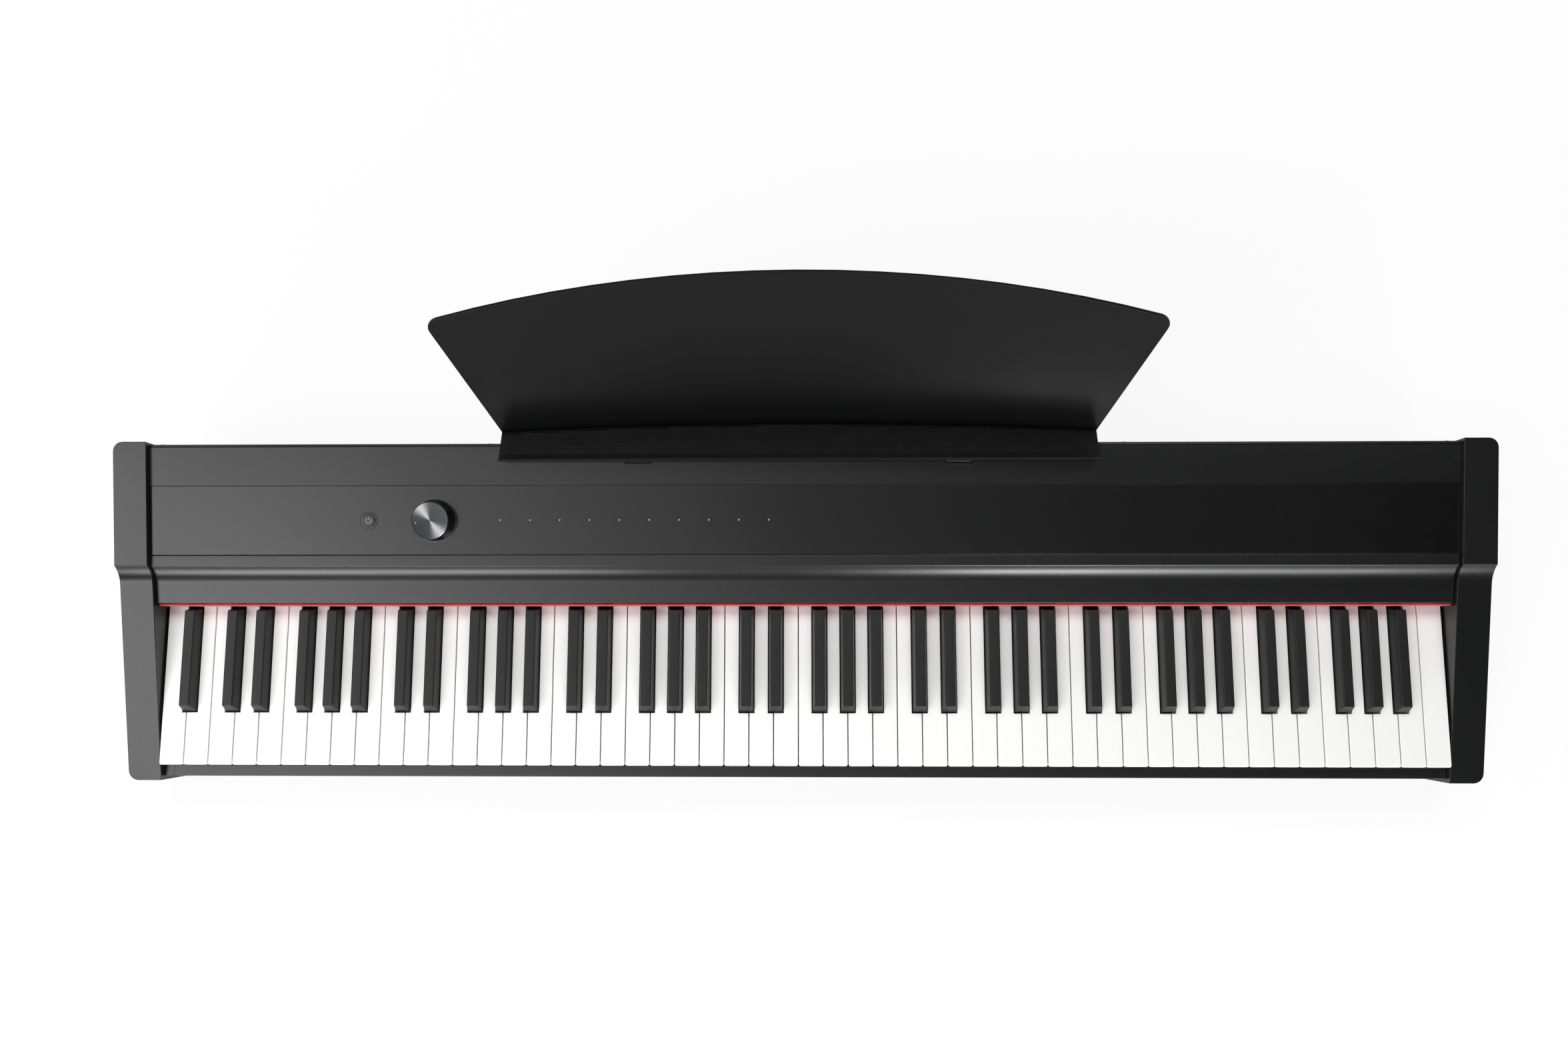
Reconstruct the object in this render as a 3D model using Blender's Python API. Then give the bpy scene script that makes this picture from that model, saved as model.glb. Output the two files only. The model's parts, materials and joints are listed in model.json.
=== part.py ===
"""Portable digital piano with 88 keys, two end blocks and a lift-off music rest.

Units are metres. X runs along the keyboard to the right, Y to the back, Z up. Heights start at the
surface that the feet stand on. Inside this file Y starts at the front edge of the white keys, and
one parent empty then centres the whole piano on the origin.
"""

from math import asin, atan2, cos, pi, radians, sin, tan

import bmesh
import bpy
from mathutils import Matrix, Vector

# Clearances
SEAT_GAP = 0.0003
KEY_GAP = 0.0009
SHAFT_GAP = 0.0004
PANEL_GAP = 0.0003

# Case
CASE_LENGTH = 1.290
END_BLOCK_WIDTH = 0.0315
END_BLOCK_WALL = 0.003
END_BLOCK_CORNER = 0.009
END_BLOCK_FRONT = -0.0155
END_BLOCK_BACK = 0.3032
END_BLOCK_PROUD = 0.005
FOOT_HEIGHT = 0.003
FOOT_RADIUS = 0.011
BOARD_THICKNESS = 0.010
KEY_TOP = 0.082
SHELL_WALL = 0.0025
PANEL_THICKNESS = 0.003
SHELF_DEPTH = 0.012
REAR_PANEL_THICKNESS = 0.0022
REAR_PANEL_BACK = 0.3012

# Top surface, as heights over the white keys
ARM_SLOPE = 0.2026
ARM_HEIGHT_AT_KEY_FRONT = -0.0058
COVE_START = 0.170
RIDGE_Y = 0.1875
RIDGE_HEIGHT = 0.0401
TOP_SLOPE = 0.144
LIP_Y = 0.1529
LIP_DEPTH = 0.0062
PANEL_FRONT = 0.1980
PANEL_BACK = 0.2623

# Keyslip and felt
KEYSLIP_FRONT = -0.0115
KEYSLIP_TOP = 0.012
KEYSLIP_KEY_GAP = 0.0012
KEYSLIP_END = 0.010
KEYSLIP_END_STEP = 0.003
KEYSLIP_FOOT = 0.009
FELT_THICKNESS = 0.0016
FELT_HEIGHT = 0.0145
FELT_OVERLAP = 0.0035

# Keys
WHITE_COUNT = 52
WHITE_PITCH = 0.02355
WHITE_HEAD_LENGTH = 0.0495
WHITE_BODY_LENGTH = 0.156
WHITE_HEIGHT = 0.018
WHITE_CORNER = 0.0016
BLACK_NOTCH_HALF = 0.00754
BLACK_BASE_HALF = 0.00685
BLACK_TOP_HALF = 0.0048
BLACK_FRONT = 0.0508
BLACK_SLOPE = 0.0055
BLACK_BACK = 0.1493
BLACK_RISE = 0.012
BLACK_SHIFT = {"C": -0.0023, "D": 0.00205, "F": -0.0033, "G": 0.0, "A": 0.00323}
STEM_HALF = 0.004
STEM_DROP = 0.006
STEM_HEIGHT = 0.010
KEY_PIVOT_Y = 0.235
KEY_PIVOT_DROP = 0.012
KEY_TAIL = 0.011
WHITE_RAIL_WIDTH = 0.005
BLACK_TAIL = 0.0045
BLACK_STEM_RISE = 0.001
BLACK_RAIL_HALF = 0.0025
BLACK_RAIL_HEIGHT = 0.003
KEY_RAIL_GAP = 0.0006
KEY_DIP = 0.010
PIVOT_ROD_RADIUS = 0.0025

# Key frame
FRAME_SHEET = 0.002
FRAME_FRONT = 0.004
FRAME_BACK = 0.246
STOP_FELT_FRONT = 0.012
STOP_FELT_WIDTH = 0.014
STOP_FELT_THICKNESS = 0.003
STOP_FELT_GAP = 0.0004
CONTACT_Y = 0.118
CONTACT_WIDTH = 0.022
CONTACT_BOARD_WIDTH = 0.034
CONTACT_BOARD_THICKNESS = 0.0016
CONTACT_RUBBER_THICKNESS = 0.004
SPRING_RAIL_Y = 0.188
SPRING_RAIL_WIDTH = 0.010
SPRING_RAIL_HEIGHT = 0.048
SPRING_TIP_Y = 0.215
SPRING_SHEET = 0.0006
SPRING_WIDTH = 0.005
SPRING_SPINE = 0.006

# Controls, as places along the panel
POWER_X = -0.4045
POWER_RADIUS = 0.0064
POWER_RING_RADIUS = 0.0078
POWER_PROUD = 0.0012
POWER_TRAVEL = 0.0012
KNOB_X = -0.3418
KNOB_BASE_RADIUS = 0.0197
KNOB_TOP_RADIUS = 0.0178
KNOB_HEIGHT = 0.0150
KNOB_CAP_RADIUS = 0.0172
KNOB_CAP_THICKNESS = 0.0012
KNOB_SHAFT_RADIUS = 0.003
CONTROL_Y = 0.2300
TOUCH_COUNT = 10
TOUCH_FIRST_X = -0.2800
TOUCH_PITCH = 0.02807
TOUCH_RADIUS = 0.0009
GUIDE_THICKNESS = 0.0025
CONTROL_BOARD_DEPTH = 0.010

# Music rest
REST_HALF_WIDTH = 0.278
REST_TOP_HALF_WIDTH = 0.3105
REST_SIDE_HEIGHT = 0.1485
REST_CENTRE_HEIGHT = 0.1945
REST_CORNER = 0.013
REST_BOW = 0.008
REST_THICKNESS = 0.003
REST_TILT = radians(26.0)
REST_Y = 0.3128
REST_HEIGHT = 0.0526
REST_HEM = 0.004
LEDGE_SLOPE = radians(18.0)
LEDGE_REACH = 0.0304
LEDGE_THICKNESS = 0.0028
LEDGE_LIP_HEIGHT = 0.0025
LEDGE_LIP_WIDTH = 0.0018
PEG_X = 0.150
PEG_LEDGE_Y = 0.290
PEG_HALF_WIDTH = 0.012
PEG_HALF_THICKNESS = 0.0028
PEG_LENGTH = 0.025
PEG_SHOULDER = 0.003
SOCKET_WALL = 0.002

# Inside
BRACKET_X = 0.205
BRACKET_THICKNESS = 0.002
BRACKET_FRONT = 0.250
BRACKET_ARM_FRONT = 0.200
BRACKET_ARM_HEIGHT = 0.010
SPEAKER_X = 0.515
SPEAKER_Y = 0.2705
SPEAKER_HALF_LENGTH = 0.050
SPEAKER_HALF_WIDTH = 0.0185
SPEAKER_FLANGE = 0.004
SPEAKER_DEPTH = 0.024
MAGNET_RADIUS = 0.016
MAGNET_HEIGHT = 0.012
GRILLE_MARGIN = 0.004
GRILLE_SLOTS = 8
GRILLE_SLOT_WIDTH = 0.0045
MAIN_BOARD_X = -0.330
MAIN_BOARD_LENGTH = 0.170
INNER_BOARD_WIDTH = 0.040
INNER_BOARD_THICKNESS = 0.0016
STANDOFF_HEIGHT = 0.006
STANDOFF_RADIUS = 0.003

# Rear sockets
JACK_HEIGHT = 0.046
JACK_DEPTH = 0.020
JACK_HALF_WIDTH = 0.008
JACK_COLLAR_RADIUS = 0.0055
JACK_BORE_RADIUS = 0.0033
JACK_PROUD = 0.0012
AUDIO_JACK_X = (0.345, 0.370, 0.420)
DC_INLET_X = 0.255
USB_PORT_X = 0.295
USB_HALF_WIDTH = 0.0062
USB_HALF_HEIGHT = 0.0056
USB_WALL = 0.0012

# Screws
SCREW_RADIUS = 0.0018
SCREW_HEAD_RADIUS = 0.0038
SCREW_HEAD_HEIGHT = 0.0022
SCREW_GRIP = 0.012
REAR_SCREW_X = (-0.606, -0.292, 0.306, 0.606)
REAR_SCREW_DROP = 0.012

# Worked out from the sizes above
CASE_HALF = CASE_LENGTH / 2
INNER_HALF = CASE_HALF - END_BLOCK_WIDTH
BOARD_TOP = FOOT_HEIGHT + BOARD_THICKNESS
TOP_ANGLE = atan2(TOP_SLOPE, 1.0)
KEY_BOTTOM = KEY_TOP - WHITE_HEIGHT
KEY_PIVOT_Z = KEY_TOP - KEY_PIVOT_DROP
KEY_ANGLE = asin(KEY_DIP / KEY_PIVOT_Y)
STEM_TOP = KEY_TOP - STEM_DROP
STEM_BOTTOM = STEM_TOP - STEM_HEIGHT
TAIL_BOTTOM = KEY_PIVOT_Z + PIVOT_ROD_RADIUS + SEAT_GAP
KEYBOARD_HALF = WHITE_COUNT * WHITE_PITCH / 2
FRAME_BOTTOM = BOARD_TOP + SEAT_GAP
FRAME_HALF = INNER_HALF - SEAT_GAP
REAR_PANEL_FRONT = REAR_PANEL_BACK - REAR_PANEL_THICKNESS
COVER_BACK = REAR_PANEL_FRONT - 2 * PANEL_GAP
BOARD_BACK = REAR_PANEL_FRONT - SEAT_GAP

ROUND_STEPS = 16
SMALL_ROUND_STEPS = 8
LETTERS = "ABCDEFG"


def clear_scene():
    for obj in list(bpy.data.objects):
        bpy.data.objects.remove(obj, do_unlink=True)


def make_material(name, colour, roughness, metallic=0.0):
    material = bpy.data.materials.new(name)
    material.use_nodes = True
    shader = material.node_tree.nodes["Principled BSDF"]
    shader.inputs["Base Color"].default_value = (*colour, 1.0)
    shader.inputs["Roughness"].default_value = roughness
    shader.inputs["Metallic"].default_value = metallic
    material.diffuse_color = (*colour, 1.0)
    return material


def travel_at(y):
    """How far a key's underside drops at this Y when the key is fully down."""
    return (KEY_PIVOT_Y - y) * sin(KEY_ANGLE)


def arm_height(y, drop=0.0):
    return KEY_TOP + ARM_HEIGHT_AT_KEY_FRONT + ARM_SLOPE * y - drop


def top_height(y, drop=0.0):
    return KEY_TOP + RIDGE_HEIGHT + TOP_SLOPE * (y - RIDGE_Y) - drop


def on_panel(x, y, rise=0.0):
    """A point over the sloping top surface, lifted along the surface's normal."""
    lift = Vector((0.0, -sin(TOP_ANGLE), cos(TOP_ANGLE))) * rise
    return Vector((x, y, top_height(y, END_BLOCK_PROUD))) + lift


def cove(drop, steps=7):
    """Points of the concave arc that leaves the arm's slope and climbs to the ridge."""
    start = Vector((COVE_START, arm_height(COVE_START, drop)))
    end = Vector((RIDGE_Y, top_height(RIDGE_Y, drop)))
    along = Vector((1.0, ARM_SLOPE)).normalized()
    up = Vector((-along.y, along.x))
    chord = end - start
    radius = chord.length_squared / (2 * chord.dot(up))
    centre = start + up * radius
    first = atan2(start.y - centre.y, start.x - centre.x)
    last = atan2(end.y - centre.y, end.x - centre.x)
    turns = [first + (last - first) * i / steps for i in range(steps + 1)]
    return [centre + Vector((cos(a), sin(a))) * radius for a in turns]


def offset_path(points, distance):
    """The same open path moved to its right by a distance, with mitred corners."""
    points = [Vector(p) for p in points]
    moved = []
    for i, point in enumerate(points):
        sides = []
        if i > 0:
            sides.append((point - points[i - 1]).normalized())
        if i < len(points) - 1:
            sides.append((points[i + 1] - point).normalized())
        normals = [Vector((s.y, -s.x)) for s in sides]
        middle = sum(normals, Vector((0.0, 0.0))).normalized()
        moved.append(point + middle * distance / middle.dot(normals[0]))
    return moved


def prism(points, low, high, axis="X"):
    """A closed prism: an outline of two coordinates, carried from low to high along an axis."""
    count = len(points)
    place = {
        "X": lambda p, t: (t, p[0], p[1]),
        "Y": lambda p, t: (p[0], t, p[1]),
        "Z": lambda p, t: (p[0], p[1], t),
    }[axis]
    verts = [place(p, low) for p in points] + [place(p, high) for p in points]
    faces = [tuple(range(count)), tuple(range(2 * count - 1, count - 1, -1))]
    for i in range(count):
        j = (i + 1) % count
        faces.append((i, j, count + j, count + i))
    return verts, faces


def box(low, high):
    outline = [(low[0], low[1]), (high[0], low[1]), (high[0], high[1]), (low[0], high[1])]
    return prism(outline, low[2], high[2], "Z")


def loft(rings, closed=False):
    """Skin over rings of equal count, with flat ends, or joined last to first."""
    count = len(rings[0])
    verts = [tuple(point) for ring in rings for point in ring]
    faces = []
    last = len(rings) if closed else len(rings) - 1
    for r in range(last):
        a = r * count
        b = ((r + 1) % len(rings)) * count
        for i in range(count):
            j = (i + 1) % count
            faces.append((a + i, a + j, b + j, b + i))
    if not closed:
        faces.append(tuple(range(count)))
        faces.append(tuple(range(len(verts) - 1, len(verts) - count - 1, -1)))
    return verts, faces


def ellipse(radius_x, radius_y, z, steps=ROUND_STEPS):
    turns = [2 * pi * i / steps for i in range(steps)]
    return [Vector((radius_x * cos(a), radius_y * sin(a), z)) for a in turns]


def turned(profile, steps=ROUND_STEPS, closed=False):
    """A turned piece about Z from (radius, height) pairs."""
    return loft([ellipse(r, r, z, steps) for r, z in profile], closed)


def placed(solid, place):
    verts, faces = solid
    return [tuple(place @ Vector(v)) for v in verts], faces


def frame_at(point, z_axis, x_axis=(1.0, 0.0, 0.0)):
    """A matrix that stands a piece's Z along z_axis at a point."""
    z = Vector(z_axis).normalized()
    x = Vector(x_axis).normalized()
    y = z.cross(x)
    turn = Matrix((x, y, z)).transposed().to_4x4()
    return Matrix.Translation(Vector(point)) @ turn


def make_object(name, solids, material, origin=(0.0, 0.0, 0.0), smooth=False):
    """One named piece from closed solids, with its origin at a point of the case."""
    verts = []
    faces = []
    for solid_verts, solid_faces in solids:
        start = len(verts)
        verts += [tuple(Vector(v) - Vector(origin)) for v in solid_verts]
        faces += [tuple(start + i for i in face) for face in solid_faces]
    mesh = bpy.data.meshes.new(name)
    mesh.from_pydata(verts, [], faces)
    shape = bmesh.new()
    shape.from_mesh(mesh)
    bmesh.ops.recalc_face_normals(shape, faces=shape.faces[:])
    shape.to_mesh(mesh)
    shape.free()
    if smooth:
        mesh.shade_smooth()
        mesh.set_sharp_from_angle(angle=radians(35.0))
    obj = bpy.data.objects.new(name, mesh)
    obj.location = origin
    bpy.context.scene.collection.objects.link(obj)
    if material:
        mesh.materials.append(material)
    obj.parent = bpy.data.objects.get("piano")
    return obj


def shape_with(obj, name, solids, operation="DIFFERENCE"):
    """Cuts or joins obj with a hidden tool made of the given solids."""
    tool = make_object(name, solids, None)
    tool.hide_render = True
    tool.display_type = "WIRE"
    modifier = obj.modifiers.new(name, "BOOLEAN")
    modifier.operation = operation
    modifier.solver = "EXACT"
    modifier.object = tool
    return tool


def white_letter(index):
    return LETTERS[index % 7]


def octave_of(index):
    return (index + 5) // 7


def boundary_x(index):
    """X of the gap on the left of this white key."""
    return index * WHITE_PITCH - KEYBOARD_HALF


def black_x(index):
    """X of the black key on the right of this white key, or None."""
    letter = white_letter(index)
    if letter not in BLACK_SHIFT or not 0 <= index < WHITE_COUNT - 1:
        return None
    return boundary_x(index + 1) + BLACK_SHIFT[letter]


def stem_rings(x, first_y):
    """Rings of the key's stem, from under the case's nose to its seat on the pivot rod."""
    seat = KEY_PIVOT_Y - KEY_TAIL
    steps = (
        (first_y, STEM_BOTTOM),
        (seat - STEM_HALF, STEM_BOTTOM),
        (seat, TAIL_BOTTOM),
        (KEY_PIVOT_Y + KEY_TAIL, TAIL_BOTTOM),
    )
    corners = ((-STEM_HALF, 0), (STEM_HALF, 0), (STEM_HALF, 1), (-STEM_HALF, 1))
    return [
        [Vector((x + dx, y, STEM_TOP if top else bottom)) for dx, top in corners]
        for y, bottom in steps
    ]


def white_key(index):
    """A white key: notched plate with rounded front corners, and a stem back to the pivot."""
    left = boundary_x(index) + KEY_GAP / 2
    right = boundary_x(index + 1) - KEY_GAP / 2
    black_left = black_x(index - 1)
    black_right = black_x(index)
    neck_left = left if black_left is None else black_left + BLACK_NOTCH_HALF
    neck_right = right if black_right is None else black_right - BLACK_NOTCH_HALF
    outline = [(neck_right, WHITE_BODY_LENGTH)]
    if black_right is not None:
        outline += [(neck_right, WHITE_HEAD_LENGTH), (right, WHITE_HEAD_LENGTH)]
    for centre, first in (((right - WHITE_CORNER), 0.0), ((left + WHITE_CORNER), -pi / 2)):
        for step in range(3):
            turn = first - step * pi / 4
            outline.append((centre + WHITE_CORNER * cos(turn), WHITE_CORNER * (1 + sin(turn))))
    if black_left is not None:
        outline += [(left, WHITE_HEAD_LENGTH), (neck_left, WHITE_HEAD_LENGTH)]
    outline.append((neck_left, WHITE_BODY_LENGTH))
    count = len(outline)
    verts, faces = prism(outline, KEY_BOTTOM, KEY_TOP, "Z")
    faces.remove((count - 1, 0, count, 2 * count - 1))
    rings = stem_rings((neck_left + neck_right) / 2, WHITE_BODY_LENGTH + STEM_HALF)
    previous = [count - 1, 0, count, 2 * count - 1]
    for ring in rings:
        start = len(verts)
        verts += [tuple(point) for point in ring]
        current = [start, start + 1, start + 2, start + 3]
        for i in range(4):
            j = (i + 1) % 4
            faces.append((previous[i], previous[j], current[j], current[i]))
        previous = current
    faces.append(tuple(previous))
    return verts, faces


def black_ring(x, y, bottom, middle, top, base_half, top_half):
    pairs = (
        (-base_half, bottom),
        (base_half, bottom),
        (base_half, middle),
        (top_half, top),
        (-top_half, top),
        (-base_half, middle),
    )
    return [Vector((x + dx, y, z)) for dx, z in pairs]


def black_key(index):
    """A black key: tapered cap with a sloping front, and a stem back to the pivot."""
    x = black_x(index)
    low = KEY_BOTTOM
    cap = KEY_TOP + BLACK_RISE
    shoulder = KEY_TOP
    foot = KEY_TOP + SEAT_GAP
    seat = KEY_PIVOT_Y - KEY_TAIL
    behind = BLACK_BACK + STEM_HALF
    stem_top = STEM_TOP + KEY_RAIL_GAP + BLACK_STEM_RISE
    middle = (STEM_BOTTOM + stem_top) / 2
    tail_middle = (TAIL_BOTTOM + stem_top) / 2
    tail = KEY_PIVOT_Y + BLACK_TAIL
    front_half = BLACK_BASE_HALF - SEAT_GAP
    rings = [
        black_ring(x, BLACK_FRONT, low, shoulder, foot, BLACK_BASE_HALF, front_half),
        black_ring(x, BLACK_FRONT + BLACK_SLOPE, low, shoulder, cap, BLACK_BASE_HALF, BLACK_TOP_HALF),
        black_ring(x, BLACK_BACK - SHELL_WALL, low, shoulder, cap, BLACK_BASE_HALF, BLACK_TOP_HALF),
        black_ring(x, BLACK_BACK, low, shoulder, foot, BLACK_BASE_HALF, front_half),
        black_ring(x, behind, STEM_BOTTOM, middle, stem_top, STEM_HALF, STEM_HALF),
        black_ring(x, seat - STEM_HALF, STEM_BOTTOM, middle, stem_top, STEM_HALF, STEM_HALF),
        black_ring(x, seat, TAIL_BOTTOM, tail_middle, stem_top, STEM_HALF, STEM_HALF),
        black_ring(x, tail, TAIL_BOTTOM, tail_middle, stem_top, STEM_HALF, STEM_HALF),
    ]
    return loft(rings)


def key_groups():
    """Name, white indices and black indices of each group, from the low end up."""
    spans = (("bass", (0, 1, 2)), ("octave_3", (3,)), ("octave_5", (5,)), ("treble", (6, 7, 8)))
    for name, octaves in spans:
        whites = [i for i in range(WHITE_COUNT) if octave_of(i) in octaves]
        yield name, whites, [i for i in whites if black_x(i) is not None]


def white_stem_x(index):
    tail = white_key(index)[0][-4:]
    return (tail[0][0] + tail[1][0]) / 2


def build_keys(ivory, ebony):
    """One octave of single keys in the middle, and moulded sets on hinge rails on either side."""
    origin = (0.0, KEY_PIVOT_Y, KEY_PIVOT_Z)
    for name, whites, blacks in key_groups():
        whole = make_object("white_keys_" + name, [white_key(i) for i in whites], ivory, origin)
        low = white_stem_x(whites[0]) - STEM_HALF / 2
        high = white_stem_x(whites[-1]) + STEM_HALF / 2
        shape_with(whole, "white_rail_" + name, [box(
            (low, KEY_PIVOT_Y + KEY_TAIL - WHITE_RAIL_WIDTH, TAIL_BOTTOM + SEAT_GAP),
            (high, KEY_PIVOT_Y + KEY_TAIL - SEAT_GAP, STEM_TOP - SEAT_GAP),
        )], "UNION")
        whole = make_object("black_keys_" + name, [black_key(i) for i in blacks], ebony, origin)
        low = black_x(blacks[0]) - STEM_HALF / 2
        high = black_x(blacks[-1]) + STEM_HALF / 2
        rail_low = STEM_TOP + KEY_RAIL_GAP
        shape_with(whole, "black_rail_" + name, [box(
            (low, KEY_PIVOT_Y - BLACK_RAIL_HALF, rail_low),
            (high, KEY_PIVOT_Y + BLACK_RAIL_HALF, rail_low + BLACK_RAIL_HEIGHT),
        )], "UNION")
    for i in range(WHITE_COUNT):
        if octave_of(i) != 4:
            continue
        letter = white_letter(i)
        make_object("key_" + letter + "4", [white_key(i)], ivory, origin)
        if black_x(i) is not None:
            make_object("key_" + letter + "_sharp_4", [black_key(i)], ebony, origin)


def stem_x_values():
    """X of every key's stem, from the low end up."""
    whites = [white_stem_x(i) for i in range(WHITE_COUNT)]
    blacks = [black_x(i) for i in range(WHITE_COUNT) if black_x(i) is not None]
    return sorted(whites + blacks)


def build_key_frame(steel, felt_black, board_green, rubber, rod_steel):
    """The pressed steel frame under the keys, with all that sits on it."""
    t = FRAME_SHEET
    base = FRAME_BOTTOM
    stop_top = KEY_BOTTOM - travel_at(STOP_FELT_FRONT) - STOP_FELT_GAP
    stop_seat = stop_top - STOP_FELT_THICKNESS - SEAT_GAP
    rubber_top = KEY_BOTTOM - travel_at(CONTACT_Y) - STOP_FELT_GAP
    board_top = rubber_top - CONTACT_RUBBER_THICKNESS - SEAT_GAP
    contact_seat = board_top - CONTACT_BOARD_THICKNESS - SEAT_GAP
    spring_seat = BOARD_TOP + SPRING_RAIL_HEIGHT - FOOT_HEIGHT - BOARD_THICKNESS
    contact_front = CONTACT_Y - (CONTACT_BOARD_WIDTH - CONTACT_WIDTH) / 2
    rails = (
        (STOP_FELT_FRONT, STOP_FELT_FRONT + STOP_FELT_WIDTH, stop_seat),
        (contact_front, contact_front + CONTACT_BOARD_WIDTH, contact_seat),
        (SPRING_RAIL_Y, SPRING_RAIL_Y + SPRING_RAIL_WIDTH, spring_seat),
    )
    # The frame's section in Y and Z: a base sheet with three folded rails and the rod's saddle
    section = [(FRAME_FRONT, base), (FRAME_BACK, base), (FRAME_BACK, base + t)]
    saddle = KEY_PIVOT_Z - PIVOT_ROD_RADIUS - SEAT_GAP
    section += [(KEY_PIVOT_Y + t, base + t), (KEY_PIVOT_Y + t, saddle)]
    section += [(KEY_PIVOT_Y - t, saddle), (KEY_PIVOT_Y - t, base + t)]
    for front, back, seat in reversed(rails):
        section += [(front + t, base + t), (front + t, seat - t), (back, seat - t)]
        section += [(back, seat), (front, seat), (front, base + t)]
    section.append((FRAME_FRONT, base + t))
    make_object("key_frame", [prism(section, -FRAME_HALF, FRAME_HALF)], steel)
    rod_end = FRAME_HALF - SEAT_GAP
    rod = turned([(PIVOT_ROD_RADIUS, -rod_end), (PIVOT_ROD_RADIUS, rod_end)])
    place = frame_at((0.0, KEY_PIVOT_Y, KEY_PIVOT_Z), (1.0, 0.0, 0.0), (0.0, 1.0, 0.0))
    make_object("pivot_rod", [placed(rod, place)], rod_steel, smooth=True)
    felt_low = stop_seat + SEAT_GAP
    felt_back = STOP_FELT_FRONT + STOP_FELT_WIDTH
    make_object("key_stop_felt", [
        box((-KEYBOARD_HALF, STOP_FELT_FRONT, felt_low), (KEYBOARD_HALF, felt_back, stop_top))
    ], felt_black)
    board_low = contact_seat + SEAT_GAP
    board_back = contact_front + CONTACT_BOARD_WIDTH
    make_object("contact_board", [
        box((-KEYBOARD_HALF, contact_front, board_low), (KEYBOARD_HALF, board_back, board_top))
    ], board_green)
    strip_low = board_top + SEAT_GAP
    middle = CONTACT_Y + CONTACT_WIDTH / 2
    strip = [
        (CONTACT_Y, strip_low),
        (CONTACT_Y + CONTACT_WIDTH, strip_low),
        (middle + STEM_HALF, rubber_top),
        (middle - STEM_HALF, rubber_top),
    ]
    make_object("contact_rubber", [prism(strip, -KEYBOARD_HALF, KEYBOARD_HALF)], rubber)
    leaf_low = spring_seat + 1.3 * SEAT_GAP
    leaf_high = STEM_BOTTOM - SEAT_GAP
    leaf = [
        (SPRING_RAIL_Y + SPRING_SHEET, leaf_low),
        (SPRING_RAIL_Y + 3 * SPRING_SHEET, leaf_low),
        (SPRING_TIP_Y, leaf_high - SPRING_SHEET / 2),
        (SPRING_TIP_Y - SPRING_SHEET, leaf_high),
    ]
    stems = stem_x_values()
    half = SPRING_WIDTH / 2
    spine = box(
        (stems[0] - half, SPRING_RAIL_Y, spring_seat + SEAT_GAP),
        (stems[-1] + half, SPRING_RAIL_Y + SPRING_SPINE, spring_seat + SEAT_GAP + SPRING_SHEET),
    )
    comb = make_object("key_return_springs", [spine], rod_steel)
    shape_with(comb, "spring_leaves", [prism(leaf, x - half, x + half) for x in stems], "UNION")


def shoulder_path(drop):
    """The top line of the case from the arm's cove to its back edge."""
    return [Vector((p.x, p.y)) for p in cove(drop)]


def end_block_section(inset=0.0, bottom=FOOT_HEIGHT):
    """Side outline of an end block, drawn in by a wall thickness."""
    top = [Vector((END_BLOCK_FRONT, arm_height(END_BLOCK_FRONT)))]
    top += shoulder_path(0.0)
    top.append(Vector((END_BLOCK_BACK, top_height(END_BLOCK_BACK))))
    if inset:
        top = offset_path(top, inset)
        top[0] = Vector((END_BLOCK_FRONT + inset, arm_height(END_BLOCK_FRONT + inset) - inset))
        top[-1] = Vector((END_BLOCK_BACK - inset, top_height(END_BLOCK_BACK - inset) - inset))
    front = top[0].x
    back = top[-1].x
    return [(back, bottom), (front, bottom)] + [tuple(p) for p in top]


def build_end_block(name, side, material):
    """A moulded shell, open below, slotted for the bottom board's end."""
    inner = side * INNER_HALF
    outer = side * CASE_HALF
    low, high = sorted((inner, outer))
    block = make_object(name, [prism(end_block_section(), low, high)], material)
    radius = END_BLOCK_CORNER
    corners = ((END_BLOCK_FRONT + radius, -pi / 2), (END_BLOCK_BACK - radius, 0.0))
    plan = [(inner - side * radius, END_BLOCK_BACK), (inner - side * radius, END_BLOCK_FRONT)]
    for centre_y, first in corners:
        for step in range(6):
            turn = first + step * pi / 10
            plan.append((outer - side * radius * (1 - cos(turn)), centre_y + radius * sin(turn)))
    shape_with(block, name + "_plan", [prism(plan, 0.0, KEY_TOP * 2, "Z")], "INTERSECT")
    wall = END_BLOCK_WALL
    hollow_low, hollow_high = sorted((inner + side * wall, outer - side * wall))
    hollow = prism(end_block_section(wall, -wall), hollow_low, hollow_high)
    slot_low, slot_high = sorted((inner - side * wall, inner + side * 2 * wall))
    slot = box(
        (slot_low, KEYSLIP_FRONT, -wall),
        (slot_high, REAR_PANEL_BACK + SEAT_GAP, BOARD_TOP + SEAT_GAP),
    )
    shape_with(block, name + "_hollow", [hollow])
    shape_with(block, name + "_board_slot", [slot])


def build_bottom_board(material):
    """The board that carries everything, with a slotted opening under each speaker."""
    half = CASE_HALF - END_BLOCK_WALL - SEAT_GAP
    front = KEYSLIP_FRONT + SEAT_GAP
    board = make_object("bottom_board", [
        box((-half, front, FOOT_HEIGHT), (half, BOARD_BACK, BOARD_TOP))
    ], material)
    slots = []
    pitch = 2 * SPEAKER_HALF_LENGTH / (GRILLE_SLOTS + 1)
    for side in (-1, 1):
        for i in range(GRILLE_SLOTS):
            offset = (i - (GRILLE_SLOTS - 1) / 2) * pitch
            x = side * SPEAKER_X + offset
            reach = (SPEAKER_HALF_WIDTH - GRILLE_MARGIN) * (1 - (offset / SPEAKER_HALF_LENGTH) ** 2) ** 0.5
            slots.append(box(
                (x - GRILLE_SLOT_WIDTH / 2, SPEAKER_Y - reach, 0.0),
                (x + GRILLE_SLOT_WIDTH / 2, SPEAKER_Y + reach, 2 * BOARD_TOP),
            ))
    shape_with(board, "speaker_slots", slots)


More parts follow.
